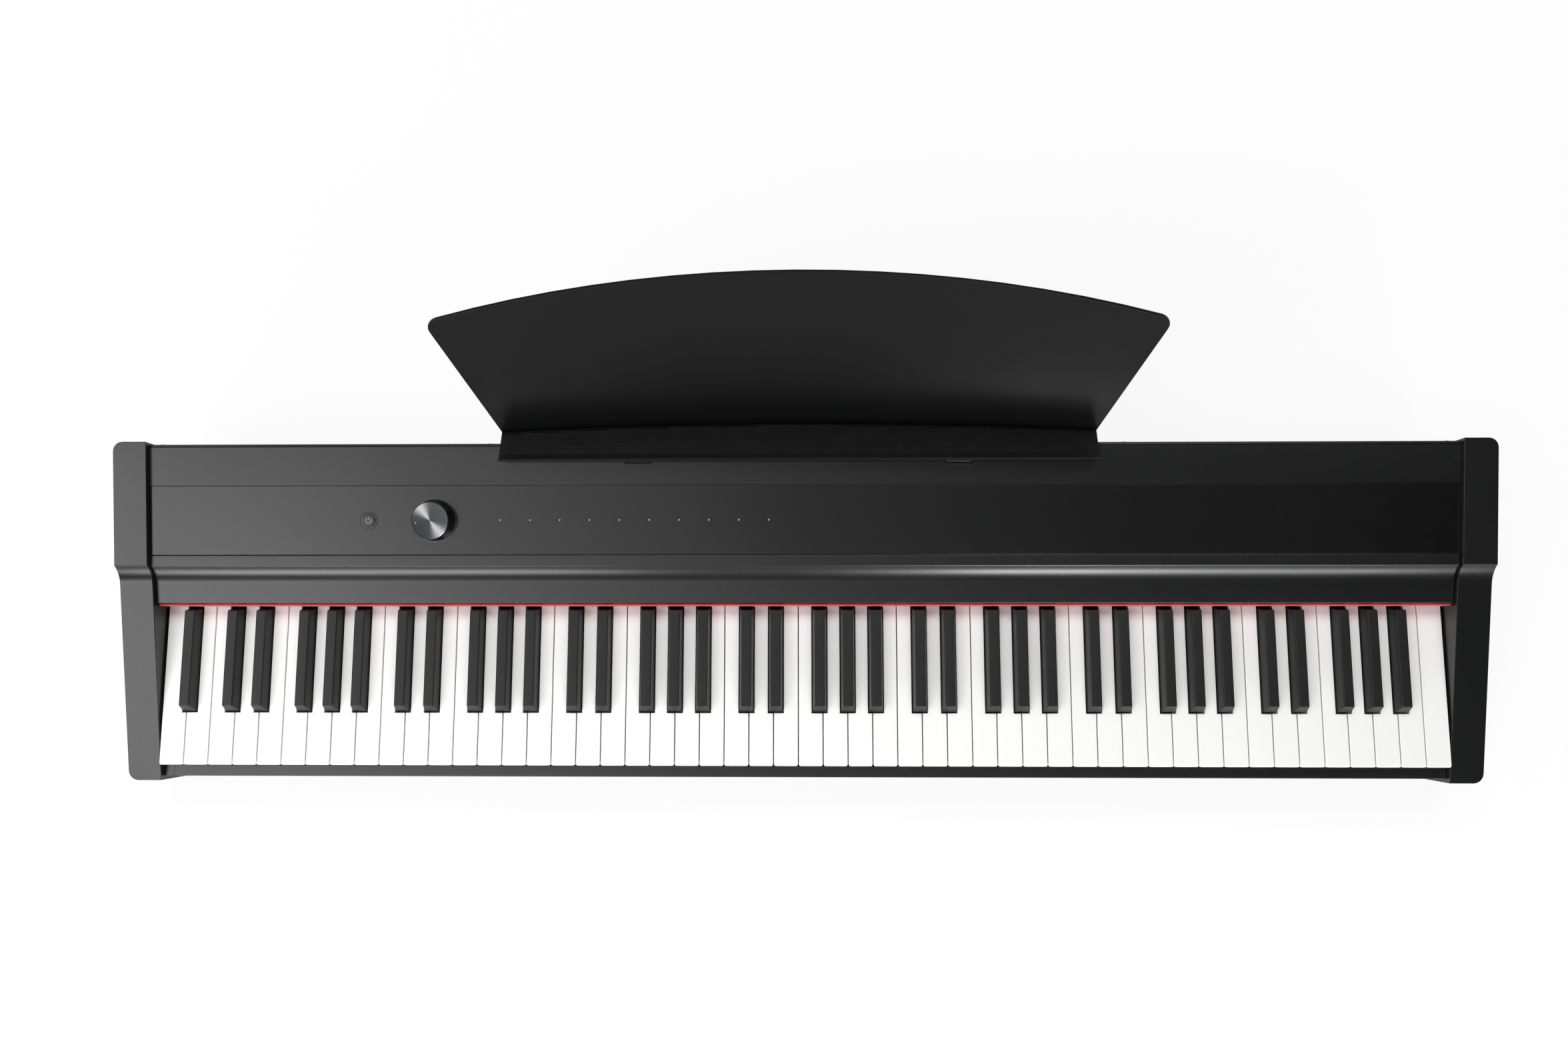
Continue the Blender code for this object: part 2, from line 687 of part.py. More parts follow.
def build_speakers(basket_steel, paper):
    """Two oval speakers that face down through the slots in the bottom board."""
    base = BOARD_TOP + SEAT_GAP
    top = base + SPEAKER_DEPTH
    neck = MAGNET_RADIUS * 0.8
    wall = SHELL_WALL / 2
    wide = SPEAKER_HALF_LENGTH
    deep = SPEAKER_HALF_WIDTH
    lip = SPEAKER_FLANGE / 2
    for name, side in (("left_speaker", -1), ("right_speaker", 1)):
        place = Matrix.Translation((side * SPEAKER_X, SPEAKER_Y, 0.0))
        shell = [
            ellipse(wide + lip, deep + lip, base),
            ellipse(wide + lip, deep + lip, base + wall),
            ellipse(neck + wall, neck + wall, top),
            ellipse(MAGNET_RADIUS, MAGNET_RADIUS, top),
            ellipse(MAGNET_RADIUS, MAGNET_RADIUS, top + MAGNET_HEIGHT),
            ellipse(neck / 2, neck / 2, top + MAGNET_HEIGHT),
            ellipse(neck / 2, neck / 2, top),
            ellipse(wide, deep, base + wall),
            ellipse(wide, deep, base),
        ]
        make_object(name + "_basket", [placed(loft(shell, closed=True), place)], basket_steel,
                    smooth=True)
        rim = ellipse(wide - SHAFT_GAP, deep - SHAFT_GAP, base)
        rim_top = ellipse(wide - SHAFT_GAP, deep - SHAFT_GAP, base + wall / 2)
        crown = ellipse(neck / 2, neck / 2, base + SPEAKER_DEPTH / 3)
        make_object(name + "_cone", [placed(loft([rim, rim_top, crown]), place)], paper, smooth=True)


def build_fascia(material):
    """The long nose over the keys: lip, sloping apron, cove, ridge and the shelf under the panel."""
    drop = END_BLOCK_PROUD
    seat = PANEL_THICKNESS + PANEL_GAP
    edge = PANEL_FRONT - PANEL_GAP
    outer = [Vector((LIP_Y, arm_height(LIP_Y, drop)))]
    outer += shoulder_path(drop)
    outer.append(Vector((edge, top_height(edge, drop))))
    shelf = edge + SHELF_DEPTH
    inner = offset_path(outer, SHELL_WALL)
    lip_low = outer[0].y - LIP_DEPTH
    section = [(LIP_Y, lip_low)] + [tuple(p) for p in outer]
    section += [(edge, top_height(edge, drop + seat)), (shelf, top_height(shelf, drop + seat))]
    section += [(shelf, top_height(shelf, drop + seat + SHELL_WALL))]
    section += [(edge - SHELL_WALL, top_height(edge - SHELL_WALL, drop + seat + SHELL_WALL))]
    section += [tuple(p) for p in reversed(inner[1:-2])]
    section += [(LIP_Y + SHELL_WALL, arm_height(LIP_Y + SHELL_WALL, drop + SHELL_WALL))]
    section += [(LIP_Y + SHELL_WALL, lip_low)]
    half = INNER_HALF - PANEL_GAP
    make_object("fascia", [prism(section, -half, half)], material)


def peg_point(rise, y=PEG_LEDGE_Y):
    """A point on the peg's centre line, at a distance up the music rest's tilt."""
    z = KEY_TOP + REST_HEIGHT + (REST_Y - y) * tan(LEDGE_SLOPE) - LEDGE_THICKNESS
    return Vector((0.0, y, z)) + Vector((0.0, sin(REST_TILT), cos(REST_TILT))) * rise


def peg_box(x, half_width, half_thickness, low, high):
    """A block round the peg's centre line, between two distances along it."""
    place = frame_at(peg_point(0.0) + Vector((x, 0.0, 0.0)), (0.0, sin(REST_TILT), cos(REST_TILT)))
    return placed(box((-half_width, -half_thickness, low), (half_width, half_thickness, high)), place)


def peg_at_cover():
    """Distance down the peg from the ledge to the top cover's surface."""
    point = peg_point(0.0)
    fall = point.z - top_height(point.y, END_BLOCK_PROUD)
    return fall / (cos(REST_TILT) - sin(REST_TILT) * TOP_SLOPE)


def build_top_cover(material):
    """The strip behind the panel, with a shelf for the panel and two sockets for the music rest."""
    drop = END_BLOCK_PROUD
    seat = PANEL_THICKNESS + PANEL_GAP
    front = PANEL_BACK + PANEL_GAP
    shelf = front - SHELF_DEPTH
    back = COVER_BACK
    wall = SHELL_WALL
    section = [
        (front, top_height(front, drop)),
        (back, top_height(back, drop)),
        (back, top_height(back, drop + 3 * wall)),
        (back - wall, top_height(back - wall, drop + 3 * wall)),
        (back - wall, top_height(back - wall, drop + wall)),
        (front + wall, top_height(front + wall, drop + wall)),
        (front + wall, top_height(front + wall, drop + seat + wall)),
        (shelf, top_height(shelf, drop + seat + wall)),
        (shelf, top_height(shelf, drop + seat)),
        (front, top_height(front, drop + seat)),
    ]
    half = INNER_HALF - PANEL_GAP
    cover = make_object("top_cover", [prism(section, -half, half)], material)
    surface = -peg_at_cover()
    tip = surface - PEG_LENGTH
    wide = PEG_HALF_WIDTH + SHAFT_GAP
    deep = PEG_HALF_THICKNESS + SHAFT_GAP
    sockets = []
    slots = []
    for x in (-PEG_X, PEG_X):
        sockets.append(peg_box(x, wide + SOCKET_WALL, deep + SOCKET_WALL, tip - SOCKET_WALL,
                               surface - deep))
        slots.append(peg_box(x, wide, deep, tip - SHAFT_GAP, surface + 2 * deep))
    shape_with(cover, "peg_sockets", sockets, "UNION")
    shape_with(cover, "peg_slots", slots)


def build_control_panel(material, guide_white):
    """The glossy strip with holes for the power button, the knob and the touch lights."""
    drop = END_BLOCK_PROUD
    outline = [
        (PANEL_FRONT, top_height(PANEL_FRONT, drop)),
        (PANEL_BACK, top_height(PANEL_BACK, drop)),
        (PANEL_BACK, top_height(PANEL_BACK, drop + PANEL_THICKNESS)),
        (PANEL_FRONT, top_height(PANEL_FRONT, drop + PANEL_THICKNESS)),
    ]
    half = INNER_HALF - PANEL_GAP
    panel = make_object("control_panel", [prism(outline, -half, half)], material)
    deep = PANEL_THICKNESS
    normal = (0.0, -sin(TOP_ANGLE), cos(TOP_ANGLE))
    holes = []
    for x, radius in ((POWER_X, POWER_RING_RADIUS), (KNOB_X, KNOB_SHAFT_RADIUS)):
        hole = [(radius + SHAFT_GAP, -2 * deep), (radius + SHAFT_GAP, deep)]
        holes.append(placed(turned(hole), frame_at(on_panel(x, CONTROL_Y), normal)))
    guides = []
    for i in range(TOUCH_COUNT):
        place = frame_at(on_panel(TOUCH_FIRST_X + i * TOUCH_PITCH, CONTROL_Y), normal)
        hole = [(TOUCH_RADIUS + SEAT_GAP, -2 * deep), (TOUCH_RADIUS + SEAT_GAP, deep)]
        guide = [(TOUCH_RADIUS, -deep - GUIDE_THICKNESS / 2), (TOUCH_RADIUS, 0.0)]
        holes.append(placed(turned(hole, SMALL_ROUND_STEPS), place))
        guides.append(placed(turned(guide, SMALL_ROUND_STEPS), place))
    shape_with(panel, "panel_holes", holes)
    reach = (TOUCH_COUNT - 1) * TOUCH_PITCH / 2
    wide = reach + KNOB_SHAFT_RADIUS * 2
    deepest = -deep - GUIDE_THICKNESS
    strip = box((-wide, -KNOB_SHAFT_RADIUS, deepest), (wide, KNOB_SHAFT_RADIUS, -deep - SEAT_GAP))
    centre = frame_at(on_panel(TOUCH_FIRST_X + reach, CONTROL_Y), normal)
    guide = make_object("touch_light_guide", [placed(strip, centre)], guide_white)
    shape_with(guide, "guide_pins", guides, "UNION")


def build_controls(ring_grey, button_black, knob_black, spun_metal, board_green):
    """Power button in its ring, volume knob on its shaft, and the boards under the panel."""
    normal = Vector((0.0, -sin(TOP_ANGLE), cos(TOP_ANGLE)))
    deep = PANEL_THICKNESS
    power = on_panel(POWER_X, CONTROL_Y)
    bore = POWER_RADIUS + SHAFT_GAP
    ring = [(POWER_RING_RADIUS, -deep), (POWER_RING_RADIUS, SEAT_GAP), (bore, SEAT_GAP), (bore, -deep)]
    make_object("power_button_ring", [placed(turned(ring, closed=True), frame_at(power, normal))],
                ring_grey, smooth=True)
    cap = [(POWER_RADIUS, POWER_TRAVEL - deep), (POWER_RADIUS, POWER_PROUD - SEAT_GAP),
           (POWER_RADIUS - SEAT_GAP, POWER_PROUD)]
    button = make_object("power_button", [placed(turned(cap), frame_at((0, 0, 0), normal))],
                         button_black, smooth=True)
    button.location = power
    knob = on_panel(KNOB_X, CONTROL_Y)
    knob_profile = [
        (KNOB_SHAFT_RADIUS, -deep - CONTROL_BOARD_DEPTH / 2),
        (KNOB_SHAFT_RADIUS, SEAT_GAP),
        (KNOB_BASE_RADIUS, SEAT_GAP),
        (KNOB_TOP_RADIUS, KNOB_HEIGHT - KNOB_CAP_THICKNESS),
    ]
    body = make_object("volume_knob", [placed(turned(knob_profile, 2 * ROUND_STEPS),
                                              frame_at((0, 0, 0), normal))], knob_black, smooth=True)
    body.location = knob
    low = KNOB_HEIGHT - KNOB_CAP_THICKNESS + SEAT_GAP
    disc = [(KNOB_CAP_RADIUS, low), (KNOB_CAP_RADIUS, KNOB_HEIGHT)]
    plate = make_object("knob_cap", [placed(turned(disc, 2 * ROUND_STEPS), frame_at((0, 0, 0), normal))],
                        spun_metal, smooth=True)
    plate.location = knob
    board_low = -deep - CONTROL_BOARD_DEPTH
    board_high = board_low + INNER_BOARD_THICKNESS
    span = (KNOB_X - POWER_X) / 2 + KNOB_BASE_RADIUS
    middle = on_panel((POWER_X + KNOB_X) / 2, CONTROL_Y)
    board = make_object("control_board", [placed(
        box((-span, -KNOB_TOP_RADIUS, board_low), (span, KNOB_TOP_RADIUS, board_high)),
        frame_at(middle, normal))], board_green)
    pot_top = -deep - CONTROL_BOARD_DEPTH / 2 - SEAT_GAP
    pot = [(POWER_RING_RADIUS, board_low + SEAT_GAP), (POWER_RING_RADIUS, pot_top)]
    switch = [(POWER_RADIUS / 2, board_low + SEAT_GAP), (POWER_RADIUS / 2, -deep - SEAT_GAP)]
    posts = [placed(turned(pot, SMALL_ROUND_STEPS), frame_at(knob, normal)),
             placed(turned(switch, SMALL_ROUND_STEPS), frame_at(power, normal))]
    for x in (-span + SCREW_HEAD_RADIUS, span - SCREW_HEAD_RADIUS):
        post = [(SCREW_RADIUS, board_low + SEAT_GAP), (SCREW_RADIUS, -deep - SEAT_GAP)]
        place = frame_at(middle, normal) @ Matrix.Translation((x, KNOB_TOP_RADIUS / 2, 0.0))
        posts.append(placed(turned(post, SMALL_ROUND_STEPS), place))
    shape_with(board, "board_parts", posts, "UNION")


def build_keyslip(material):
    """The rail in front of the keys: top, front wall and a foot on the board, stepped at its ends."""
    t = SHELL_WALL
    top = KEY_TOP - KEYSLIP_TOP
    low = BOARD_TOP + SEAT_GAP
    back = -KEYSLIP_KEY_GAP
    foot = KEYSLIP_FRONT + KEYSLIP_FOOT
    section = [
        (KEYSLIP_FRONT, low),
        (foot, low),
        (foot, low + t),
        (KEYSLIP_FRONT + t, low + t),
        (KEYSLIP_FRONT + t, top - t),
        (back, top - t),
        (back, top),
        (KEYSLIP_FRONT, top),
    ]
    half = INNER_HALF - SEAT_GAP
    slip = make_object("keyslip", [prism(section, -half, half)], material)
    ends = []
    for side in (-1, 1):
        low_x, high_x = sorted((side * (half - KEYSLIP_END), side * (half + KEYSLIP_END)))
        ends.append(box(
            (low_x, KEYSLIP_FRONT - t, top - KEYSLIP_END_STEP / 3),
            (high_x, back + t, top + t),
        ))
    shape_with(slip, "keyslip_end_steps", ends)


def build_rear_panel(material, socket_black):
    """The thin back plate, and the socket board that looks out through it."""
    top = top_height(COVER_BACK, END_BLOCK_PROUD)
    half = INNER_HALF - SEAT_GAP
    panel = make_object("rear_panel", [
        box((-half, REAR_PANEL_FRONT, FOOT_HEIGHT), (half, REAR_PANEL_BACK, top))
    ], material)
    back = (0.0, 1.0, 0.0)
    proud = REAR_PANEL_THICKNESS + JACK_PROUD
    face = REAR_PANEL_FRONT - SEAT_GAP
    collar = JACK_COLLAR_RADIUS
    cuts = []
    for x in AUDIO_JACK_X + (DC_INLET_X,):
        hole = [(collar + SEAT_GAP, -proud), (collar + SEAT_GAP, 2 * proud)]
        cuts.append(placed(turned(hole), frame_at((x, face, JACK_HEIGHT), back)))
    port_x = USB_HALF_WIDTH + SEAT_GAP
    port_z = USB_HALF_HEIGHT + SEAT_GAP
    cuts.append(box(
        (USB_PORT_X - port_x, face - proud, JACK_HEIGHT - port_z),
        (USB_PORT_X + port_x, face + 2 * proud, JACK_HEIGHT + port_z),
    ))
    for x in REAR_SCREW_X:
        hole = [(SCREW_RADIUS + SHAFT_GAP, -proud), (SCREW_RADIUS + SHAFT_GAP, 2 * proud)]
        cuts.append(placed(turned(hole, SMALL_ROUND_STEPS), frame_at((x, face, rear_screw_z()), back)))
    shape_with(panel, "rear_holes", cuts)
    low_x = min(DC_INLET_X, *AUDIO_JACK_X) - 2 * JACK_HALF_WIDTH
    high_x = max(DC_INLET_X, *AUDIO_JACK_X) + 2 * JACK_HALF_WIDTH
    board_z = JACK_HEIGHT - JACK_HALF_WIDTH
    board = make_object("jack_board", [box(
        (low_x, face - JACK_DEPTH - JACK_HALF_WIDTH, board_z - INNER_BOARD_THICKNESS),
        (high_x, face - JACK_PROUD, board_z + SEAT_GAP),
    )], socket_black)
    sockets = []
    for x in AUDIO_JACK_X + (DC_INLET_X,):
        place = frame_at((x, face, JACK_HEIGHT), back)
        half_body = JACK_HALF_WIDTH
        body = box((-half_body, -half_body, -JACK_DEPTH), (half_body, half_body, 0.0))
        sockets.append(placed(body, place))
    sockets.append(box(
        (USB_PORT_X - USB_HALF_WIDTH, face - JACK_DEPTH, board_z - INNER_BOARD_THICKNESS / 2),
        (USB_PORT_X + USB_HALF_WIDTH, face, JACK_HEIGHT + USB_HALF_HEIGHT),
    ))
    foot = [(STANDOFF_RADIUS, BOARD_TOP + SEAT_GAP), (STANDOFF_RADIUS, board_z)]
    for x in (low_x + 2 * STANDOFF_RADIUS, high_x - 2 * STANDOFF_RADIUS):
        spot = Matrix.Translation((x, face - JACK_DEPTH, 0.0))
        sockets.append(placed(turned(foot, SMALL_ROUND_STEPS), spot))
    shape_with(board, "socket_bodies", sockets, "UNION")
    collars = [box(
        (USB_PORT_X - USB_HALF_WIDTH, face - JACK_DEPTH / 2, JACK_HEIGHT - USB_HALF_HEIGHT),
        (USB_PORT_X + USB_HALF_WIDTH, face + proud, JACK_HEIGHT + USB_HALF_HEIGHT),
    )]
    bores = []
    for x in AUDIO_JACK_X + (DC_INLET_X,):
        place = frame_at((x, face, JACK_HEIGHT), back)
        collars.append(placed(turned([(collar, -proud), (collar, proud)]), place))
        bore = [(JACK_BORE_RADIUS, SHELL_WALL - JACK_DEPTH), (JACK_BORE_RADIUS, 2 * proud)]
        bores.append(placed(turned(bore), place))
    shape_with(board, "socket_collars", collars, "UNION")
    mouth_x = USB_HALF_WIDTH - USB_WALL
    mouth_z = USB_HALF_HEIGHT - USB_WALL
    bores.append(box(
        (USB_PORT_X - mouth_x, face - JACK_DEPTH + SHELL_WALL, JACK_HEIGHT - mouth_z),
        (USB_PORT_X + mouth_x, face + 2 * proud, JACK_HEIGHT + mouth_z),
    ))
    shape_with(board, "socket_bores", bores)


def rear_screw_z():
    return top_height(REAR_PANEL_BACK, END_BLOCK_PROUD) - REAR_SCREW_DROP


def build_screws(material):
    """The four pan-head screws that show on the back."""
    pan = [(SCREW_RADIUS, -SCREW_GRIP / 2), (SCREW_RADIUS, SEAT_GAP), (SCREW_HEAD_RADIUS, SEAT_GAP),
           (SCREW_HEAD_RADIUS, SCREW_HEAD_HEIGHT / 2), (SCREW_RADIUS, SCREW_HEAD_HEIGHT)]
    for number, x in enumerate(REAR_SCREW_X, 1):
        place = frame_at((x, REAR_PANEL_BACK, rear_screw_z()), (0.0, 1.0, 0.0))
        make_object(f"rear_screw_{number}", [placed(turned(pan), place)], material)


def build_brackets(material):
    """Upright plates that carry the middle of the nose and the top cover from the board."""
    drop = END_BLOCK_PROUD + PANEL_THICKNESS + PANEL_GAP + SHELL_WALL + SEAT_GAP
    cover_drop = END_BLOCK_PROUD + SHELL_WALL + SEAT_GAP
    base = BOARD_TOP + SEAT_GAP
    back = COVER_BACK - SHELL_WALL - SEAT_GAP
    cover_front = PANEL_BACK + PANEL_GAP + SHELL_WALL + SEAT_GAP
    arm = BRACKET_ARM_FRONT
    section = [
        (BRACKET_FRONT, base),
        (back, base),
        (back, top_height(back, cover_drop)),
        (cover_front, top_height(cover_front, cover_drop)),
        (cover_front, top_height(cover_front, drop)),
        (arm, top_height(arm, drop)),
        (arm, top_height(arm, drop + BRACKET_ARM_HEIGHT)),
        (BRACKET_FRONT, top_height(BRACKET_FRONT, drop + 2 * BRACKET_ARM_HEIGHT)),
    ]
    half = BRACKET_THICKNESS / 2
    for name, x in (("left_bracket", -BRACKET_X), ("right_bracket", BRACKET_X)):
        make_object(name, [prism(section, x - half, x + half)], material)


def build_main_board(board_green):
    """The main board on four posts, with its largest chip."""
    middle_y = (BRACKET_FRONT + BOARD_BACK) / 2
    low = BOARD_TOP + STANDOFF_HEIGHT
    half_x = MAIN_BOARD_LENGTH / 2
    half_y = INNER_BOARD_WIDTH / 2
    x = MAIN_BOARD_X
    high = low + INNER_BOARD_THICKNESS
    board = make_object("main_board", [
        box((x - half_x, middle_y - half_y, low), (x + half_x, middle_y + half_y, high))
    ], board_green)
    parts = [box(
        (x - half_x / 3, middle_y - half_y / 2, low + SEAT_GAP),
        (x + half_x / 3, middle_y + half_y / 2, low + 3 * INNER_BOARD_THICKNESS),
    )]
    inset = 2 * STANDOFF_RADIUS
    for a in (-1, 1):
        for b in (-1, 1):
            spot = Matrix.Translation((x + a * (half_x - inset), middle_y + b * (half_y - inset), 0.0))
            post = [(STANDOFF_RADIUS, BOARD_TOP + SEAT_GAP), (STANDOFF_RADIUS, low + SEAT_GAP)]
            parts.append(placed(turned(post, SMALL_ROUND_STEPS), spot))
    shape_with(board, "main_board_parts", parts, "UNION")


def build_nameboard_felt(material):
    """The red strip that hangs on the nose's lip, just over the keys."""
    back = LIP_Y - SEAT_GAP
    top = arm_height(LIP_Y, END_BLOCK_PROUD) - LIP_DEPTH + FELT_OVERLAP
    low = top - FELT_HEIGHT
    half = KEYBOARD_HALF
    make_object("nameboard_felt", [
        box((-half, back - FELT_THICKNESS, low), (half, back, top))
    ], material)


def build_feet(material):
    foot = [(FOOT_RADIUS * 0.9, 0.0), (FOOT_RADIUS, FOOT_HEIGHT - SEAT_GAP)]
    reach = INNER_HALF - 2 * FOOT_RADIUS
    for name, x, y in (
        ("front_left_foot", -reach, 2 * FOOT_RADIUS),
        ("front_right_foot", reach, 2 * FOOT_RADIUS),
        ("rear_left_foot", -reach, BOARD_BACK - 2 * FOOT_RADIUS),
        ("rear_right_foot", reach, BOARD_BACK - 2 * FOOT_RADIUS),
    ):
        make_object(name, [placed(turned(foot), Matrix.Translation((x, y, 0.0)))], material, smooth=True)


def rest_surface(x, s, depth=0.0):
    """A point of the bowed music rest, s up its tilt and some depth behind its front face."""
    bow = REST_BOW * (1 - (x / REST_HALF_WIDTH) ** 2) + depth
    y = REST_Y + s * sin(REST_TILT) + bow * cos(REST_TILT)
    z = KEY_TOP + REST_HEIGHT + s * cos(REST_TILT) - bow * sin(REST_TILT)
    return Vector((x, y, z))


def rest_outline():
    """Pairs of (bottom x, top x, top s) for the columns of the music rest, left to right."""
    slant = Vector((REST_TOP_HALF_WIDTH - REST_HALF_WIDTH, REST_SIDE_HEIGHT))
    side = slant.normalized()
    rise = REST_CENTRE_HEIGHT - REST_SIDE_HEIGHT
    arc_radius = (REST_TOP_HALF_WIDTH ** 2 + rise ** 2) / (2 * rise)
    end_turn = asin(REST_TOP_HALF_WIDTH / arc_radius)
    corner = Vector((REST_TOP_HALF_WIDTH, REST_SIDE_HEIGHT))
    along_top = Vector((-cos(end_turn), sin(end_turn)))
    opening = (-side).angle(along_top)
    reach = REST_CORNER / tan(opening / 2)
    inward = (along_top - side).normalized()
    centre = corner + inward * REST_CORNER / sin(opening / 2)
    start = corner - side * reach
    end = corner + along_top * reach
    first = atan2(start.y - centre.y, start.x - centre.x)
    last = atan2(end.y - centre.y, end.x - centre.x)
    right = []
    steps = 5
    for i in range(steps + 1):
        turn = first + (last - first) * i / steps
        spot = centre + Vector((cos(turn), sin(turn))) * REST_CORNER
        right.append((REST_HALF_WIDTH - i * SOCKET_WALL, spot.x, spot.y))
    columns = 9
    edge_x = right[-1][1]
    edge_bottom = right[-1][0]
    for i in range(1, columns + 1):
        share = 1 - i / columns
        top_x = edge_x * share
        drop = arc_radius - (arc_radius ** 2 - top_x ** 2) ** 0.5
        right.append((edge_bottom * share, top_x, REST_CENTRE_HEIGHT - drop))
    left = [(-bottom, -top_x, s) for bottom, top_x, s in right[:-1]]
    return left + list(reversed(right))


def build_music_rest(panel_black, ledge_black, peg_black):
    """The bowed back plate, the ledge that the music stands on, and two pegs below."""
    rings = []
    for bottom_x, top_x, s in rest_outline():
        rings.append([
            rest_surface(bottom_x, -REST_HEM),
            rest_surface(top_x, s),
            rest_surface(top_x, s, REST_THICKNESS),
            rest_surface(bottom_x, -REST_HEM, REST_THICKNESS),
        ])
    make_object("music_rest_panel", [loft(rings)], panel_black)
    lip_y = REST_Y - LEDGE_REACH

    def ledge_z(y):
        return KEY_TOP + REST_HEIGHT + (REST_Y - y) * tan(LEDGE_SLOPE)

    ledge_rings = []
    columns = 12
    for i in range(columns + 1):
        x = REST_HALF_WIDTH * (2 * i / columns - 1)
        base = rest_surface(x, 0.0)
        fall = ledge_z(base.y) - base.z
        back = base.y + fall * tan(REST_TILT) - 2 * SEAT_GAP
        ledge_rings.append([
            Vector((x, lip_y, ledge_z(lip_y) - LEDGE_THICKNESS)),
            Vector((x, lip_y, ledge_z(lip_y) + LEDGE_LIP_HEIGHT)),
            Vector((x, lip_y + LEDGE_LIP_WIDTH, ledge_z(lip_y) + LEDGE_LIP_HEIGHT)),
            Vector((x, lip_y + LEDGE_LIP_WIDTH, ledge_z(lip_y + LEDGE_LIP_WIDTH))),
            Vector((x, back, ledge_z(back))),
            Vector((x, back - LEDGE_THICKNESS * sin(REST_TILT), ledge_z(back) - LEDGE_THICKNESS)),
        ])
    make_object("music_rest_ledge", [loft(ledge_rings)], ledge_black)
    surface = -peg_at_cover()
    tip = surface - PEG_LENGTH
    tie = peg_box(0.0, PEG_X + PEG_HALF_WIDTH, PEG_HALF_THICKNESS, -PEG_SHOULDER, -3 * SEAT_GAP)
    peg = make_object("music_rest_pegs", [tie], peg_black)
    shape_with(peg, "peg_tongues", [
        peg_box(x, PEG_HALF_WIDTH - SEAT_GAP, PEG_HALF_THICKNESS - SEAT_GAP, tip, -2 * PEG_SHOULDER / 3)
        for x in (-PEG_X, PEG_X)
    ], "UNION")


def main():
    clear_scene()
    piano = bpy.data.objects.new("piano", None)
    bpy.context.scene.collection.objects.link(piano)
    ivory = make_material("white_key_plastic", (0.86, 0.86, 0.85), 0.25)
    ebony = make_material("black_key_plastic", (0.02, 0.021, 0.022), 0.45)
    satin = make_material("satin_black_plastic", (0.028, 0.029, 0.030), 0.42)
    gloss = make_material("gloss_panel_plastic", (0.022, 0.023, 0.024), 0.20)
    steel = make_material("zinc_steel", (0.45, 0.46, 0.47), 0.38, 1.0)
    spring_steel = make_material("spring_steel", (0.38, 0.38, 0.40), 0.30, 1.0)
    red_felt = make_material("red_felt", (0.50, 0.02, 0.03), 0.95)
    dark_felt = make_material("dark_felt", (0.05, 0.05, 0.055), 0.95)
    green = make_material("circuit_board", (0.02, 0.13, 0.05), 0.45)
    rubber = make_material("rubber", (0.03, 0.03, 0.03), 0.80)
    paper = make_material("speaker_paper", (0.04, 0.04, 0.042), 0.85)
    spun = make_material("spun_black_metal", (0.06, 0.06, 0.065), 0.25, 1.0)
    guide = make_material("light_guide", (0.45, 0.46, 0.46), 0.40)
    screw_black = make_material("black_screw_steel", (0.05, 0.05, 0.055), 0.40, 1.0)
    board_wood = make_material("board_fibre", (0.07, 0.065, 0.06), 0.75)

    build_bottom_board(board_wood)
    build_end_block("left_end_block", -1, satin)
    build_end_block("right_end_block", 1, satin)
    build_fascia(satin)
    build_top_cover(satin)
    build_control_panel(gloss, guide)
    build_controls(steel, ebony, satin, spun, green)
    build_keyslip(satin)
    build_nameboard_felt(red_felt)
    build_rear_panel(satin, rubber)
    build_brackets(steel)
    build_key_frame(steel, dark_felt, green, rubber, spring_steel)
    build_keys(ivory, ebony)
    build_main_board(green)
    build_speakers(steel, paper)
    build_music_rest(gloss, satin, satin)
    build_feet(rubber)
    build_screws(screw_black)

    rest_back = rest_surface(0.0, REST_CENTRE_HEIGHT, REST_THICKNESS).y
    piano.location = (0.0, -(END_BLOCK_FRONT + rest_back) / 2, 0.0)


main()
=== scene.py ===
"""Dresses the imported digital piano: rounded mouldings, finishes, small parts and a pale studio.

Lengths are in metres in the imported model's own frame: +X to the treble end, +Y to the back, +Z up.
"""

import json
from math import atan2, cos, pi, radians, sin, tau

import bmesh
import bpy
from bpy.props import FloatProperty, FloatVectorProperty, IntProperty, PointerProperty
from mathutils import Matrix, Vector


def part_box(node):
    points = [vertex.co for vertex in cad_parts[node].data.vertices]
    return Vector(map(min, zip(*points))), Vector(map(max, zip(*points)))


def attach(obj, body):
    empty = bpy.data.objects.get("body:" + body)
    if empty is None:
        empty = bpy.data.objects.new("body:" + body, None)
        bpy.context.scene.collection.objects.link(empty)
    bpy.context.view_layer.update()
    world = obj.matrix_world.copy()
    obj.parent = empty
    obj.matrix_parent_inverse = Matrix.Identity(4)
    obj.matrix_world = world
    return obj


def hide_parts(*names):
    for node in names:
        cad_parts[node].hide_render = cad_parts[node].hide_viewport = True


bl_info = {
    "name": "Digital piano",
    "version": (1, 0, 0),
    "blender": (4, 5, 0),
    "location": "3D View > Sidebar > Piano",
    "description": "Dresses the packed digital piano with its finishes, small parts and studio",
    "category": "Object",
}

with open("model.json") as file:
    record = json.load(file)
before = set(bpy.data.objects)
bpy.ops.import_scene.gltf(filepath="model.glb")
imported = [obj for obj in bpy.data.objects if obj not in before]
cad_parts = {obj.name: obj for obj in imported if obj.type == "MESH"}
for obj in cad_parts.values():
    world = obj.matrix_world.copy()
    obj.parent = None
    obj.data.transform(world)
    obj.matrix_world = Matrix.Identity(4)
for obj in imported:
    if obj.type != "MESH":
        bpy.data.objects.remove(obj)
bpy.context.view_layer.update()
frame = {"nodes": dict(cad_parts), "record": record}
NODE_BODY = {
    node: body
    for body, nodes in frame["record"]["behaviour"]["bodies"].items()
    for node in nodes
}
SLOT_OF = {entry["node"]: entry["material_slot"] for entry in frame["record"]["subparts"]}

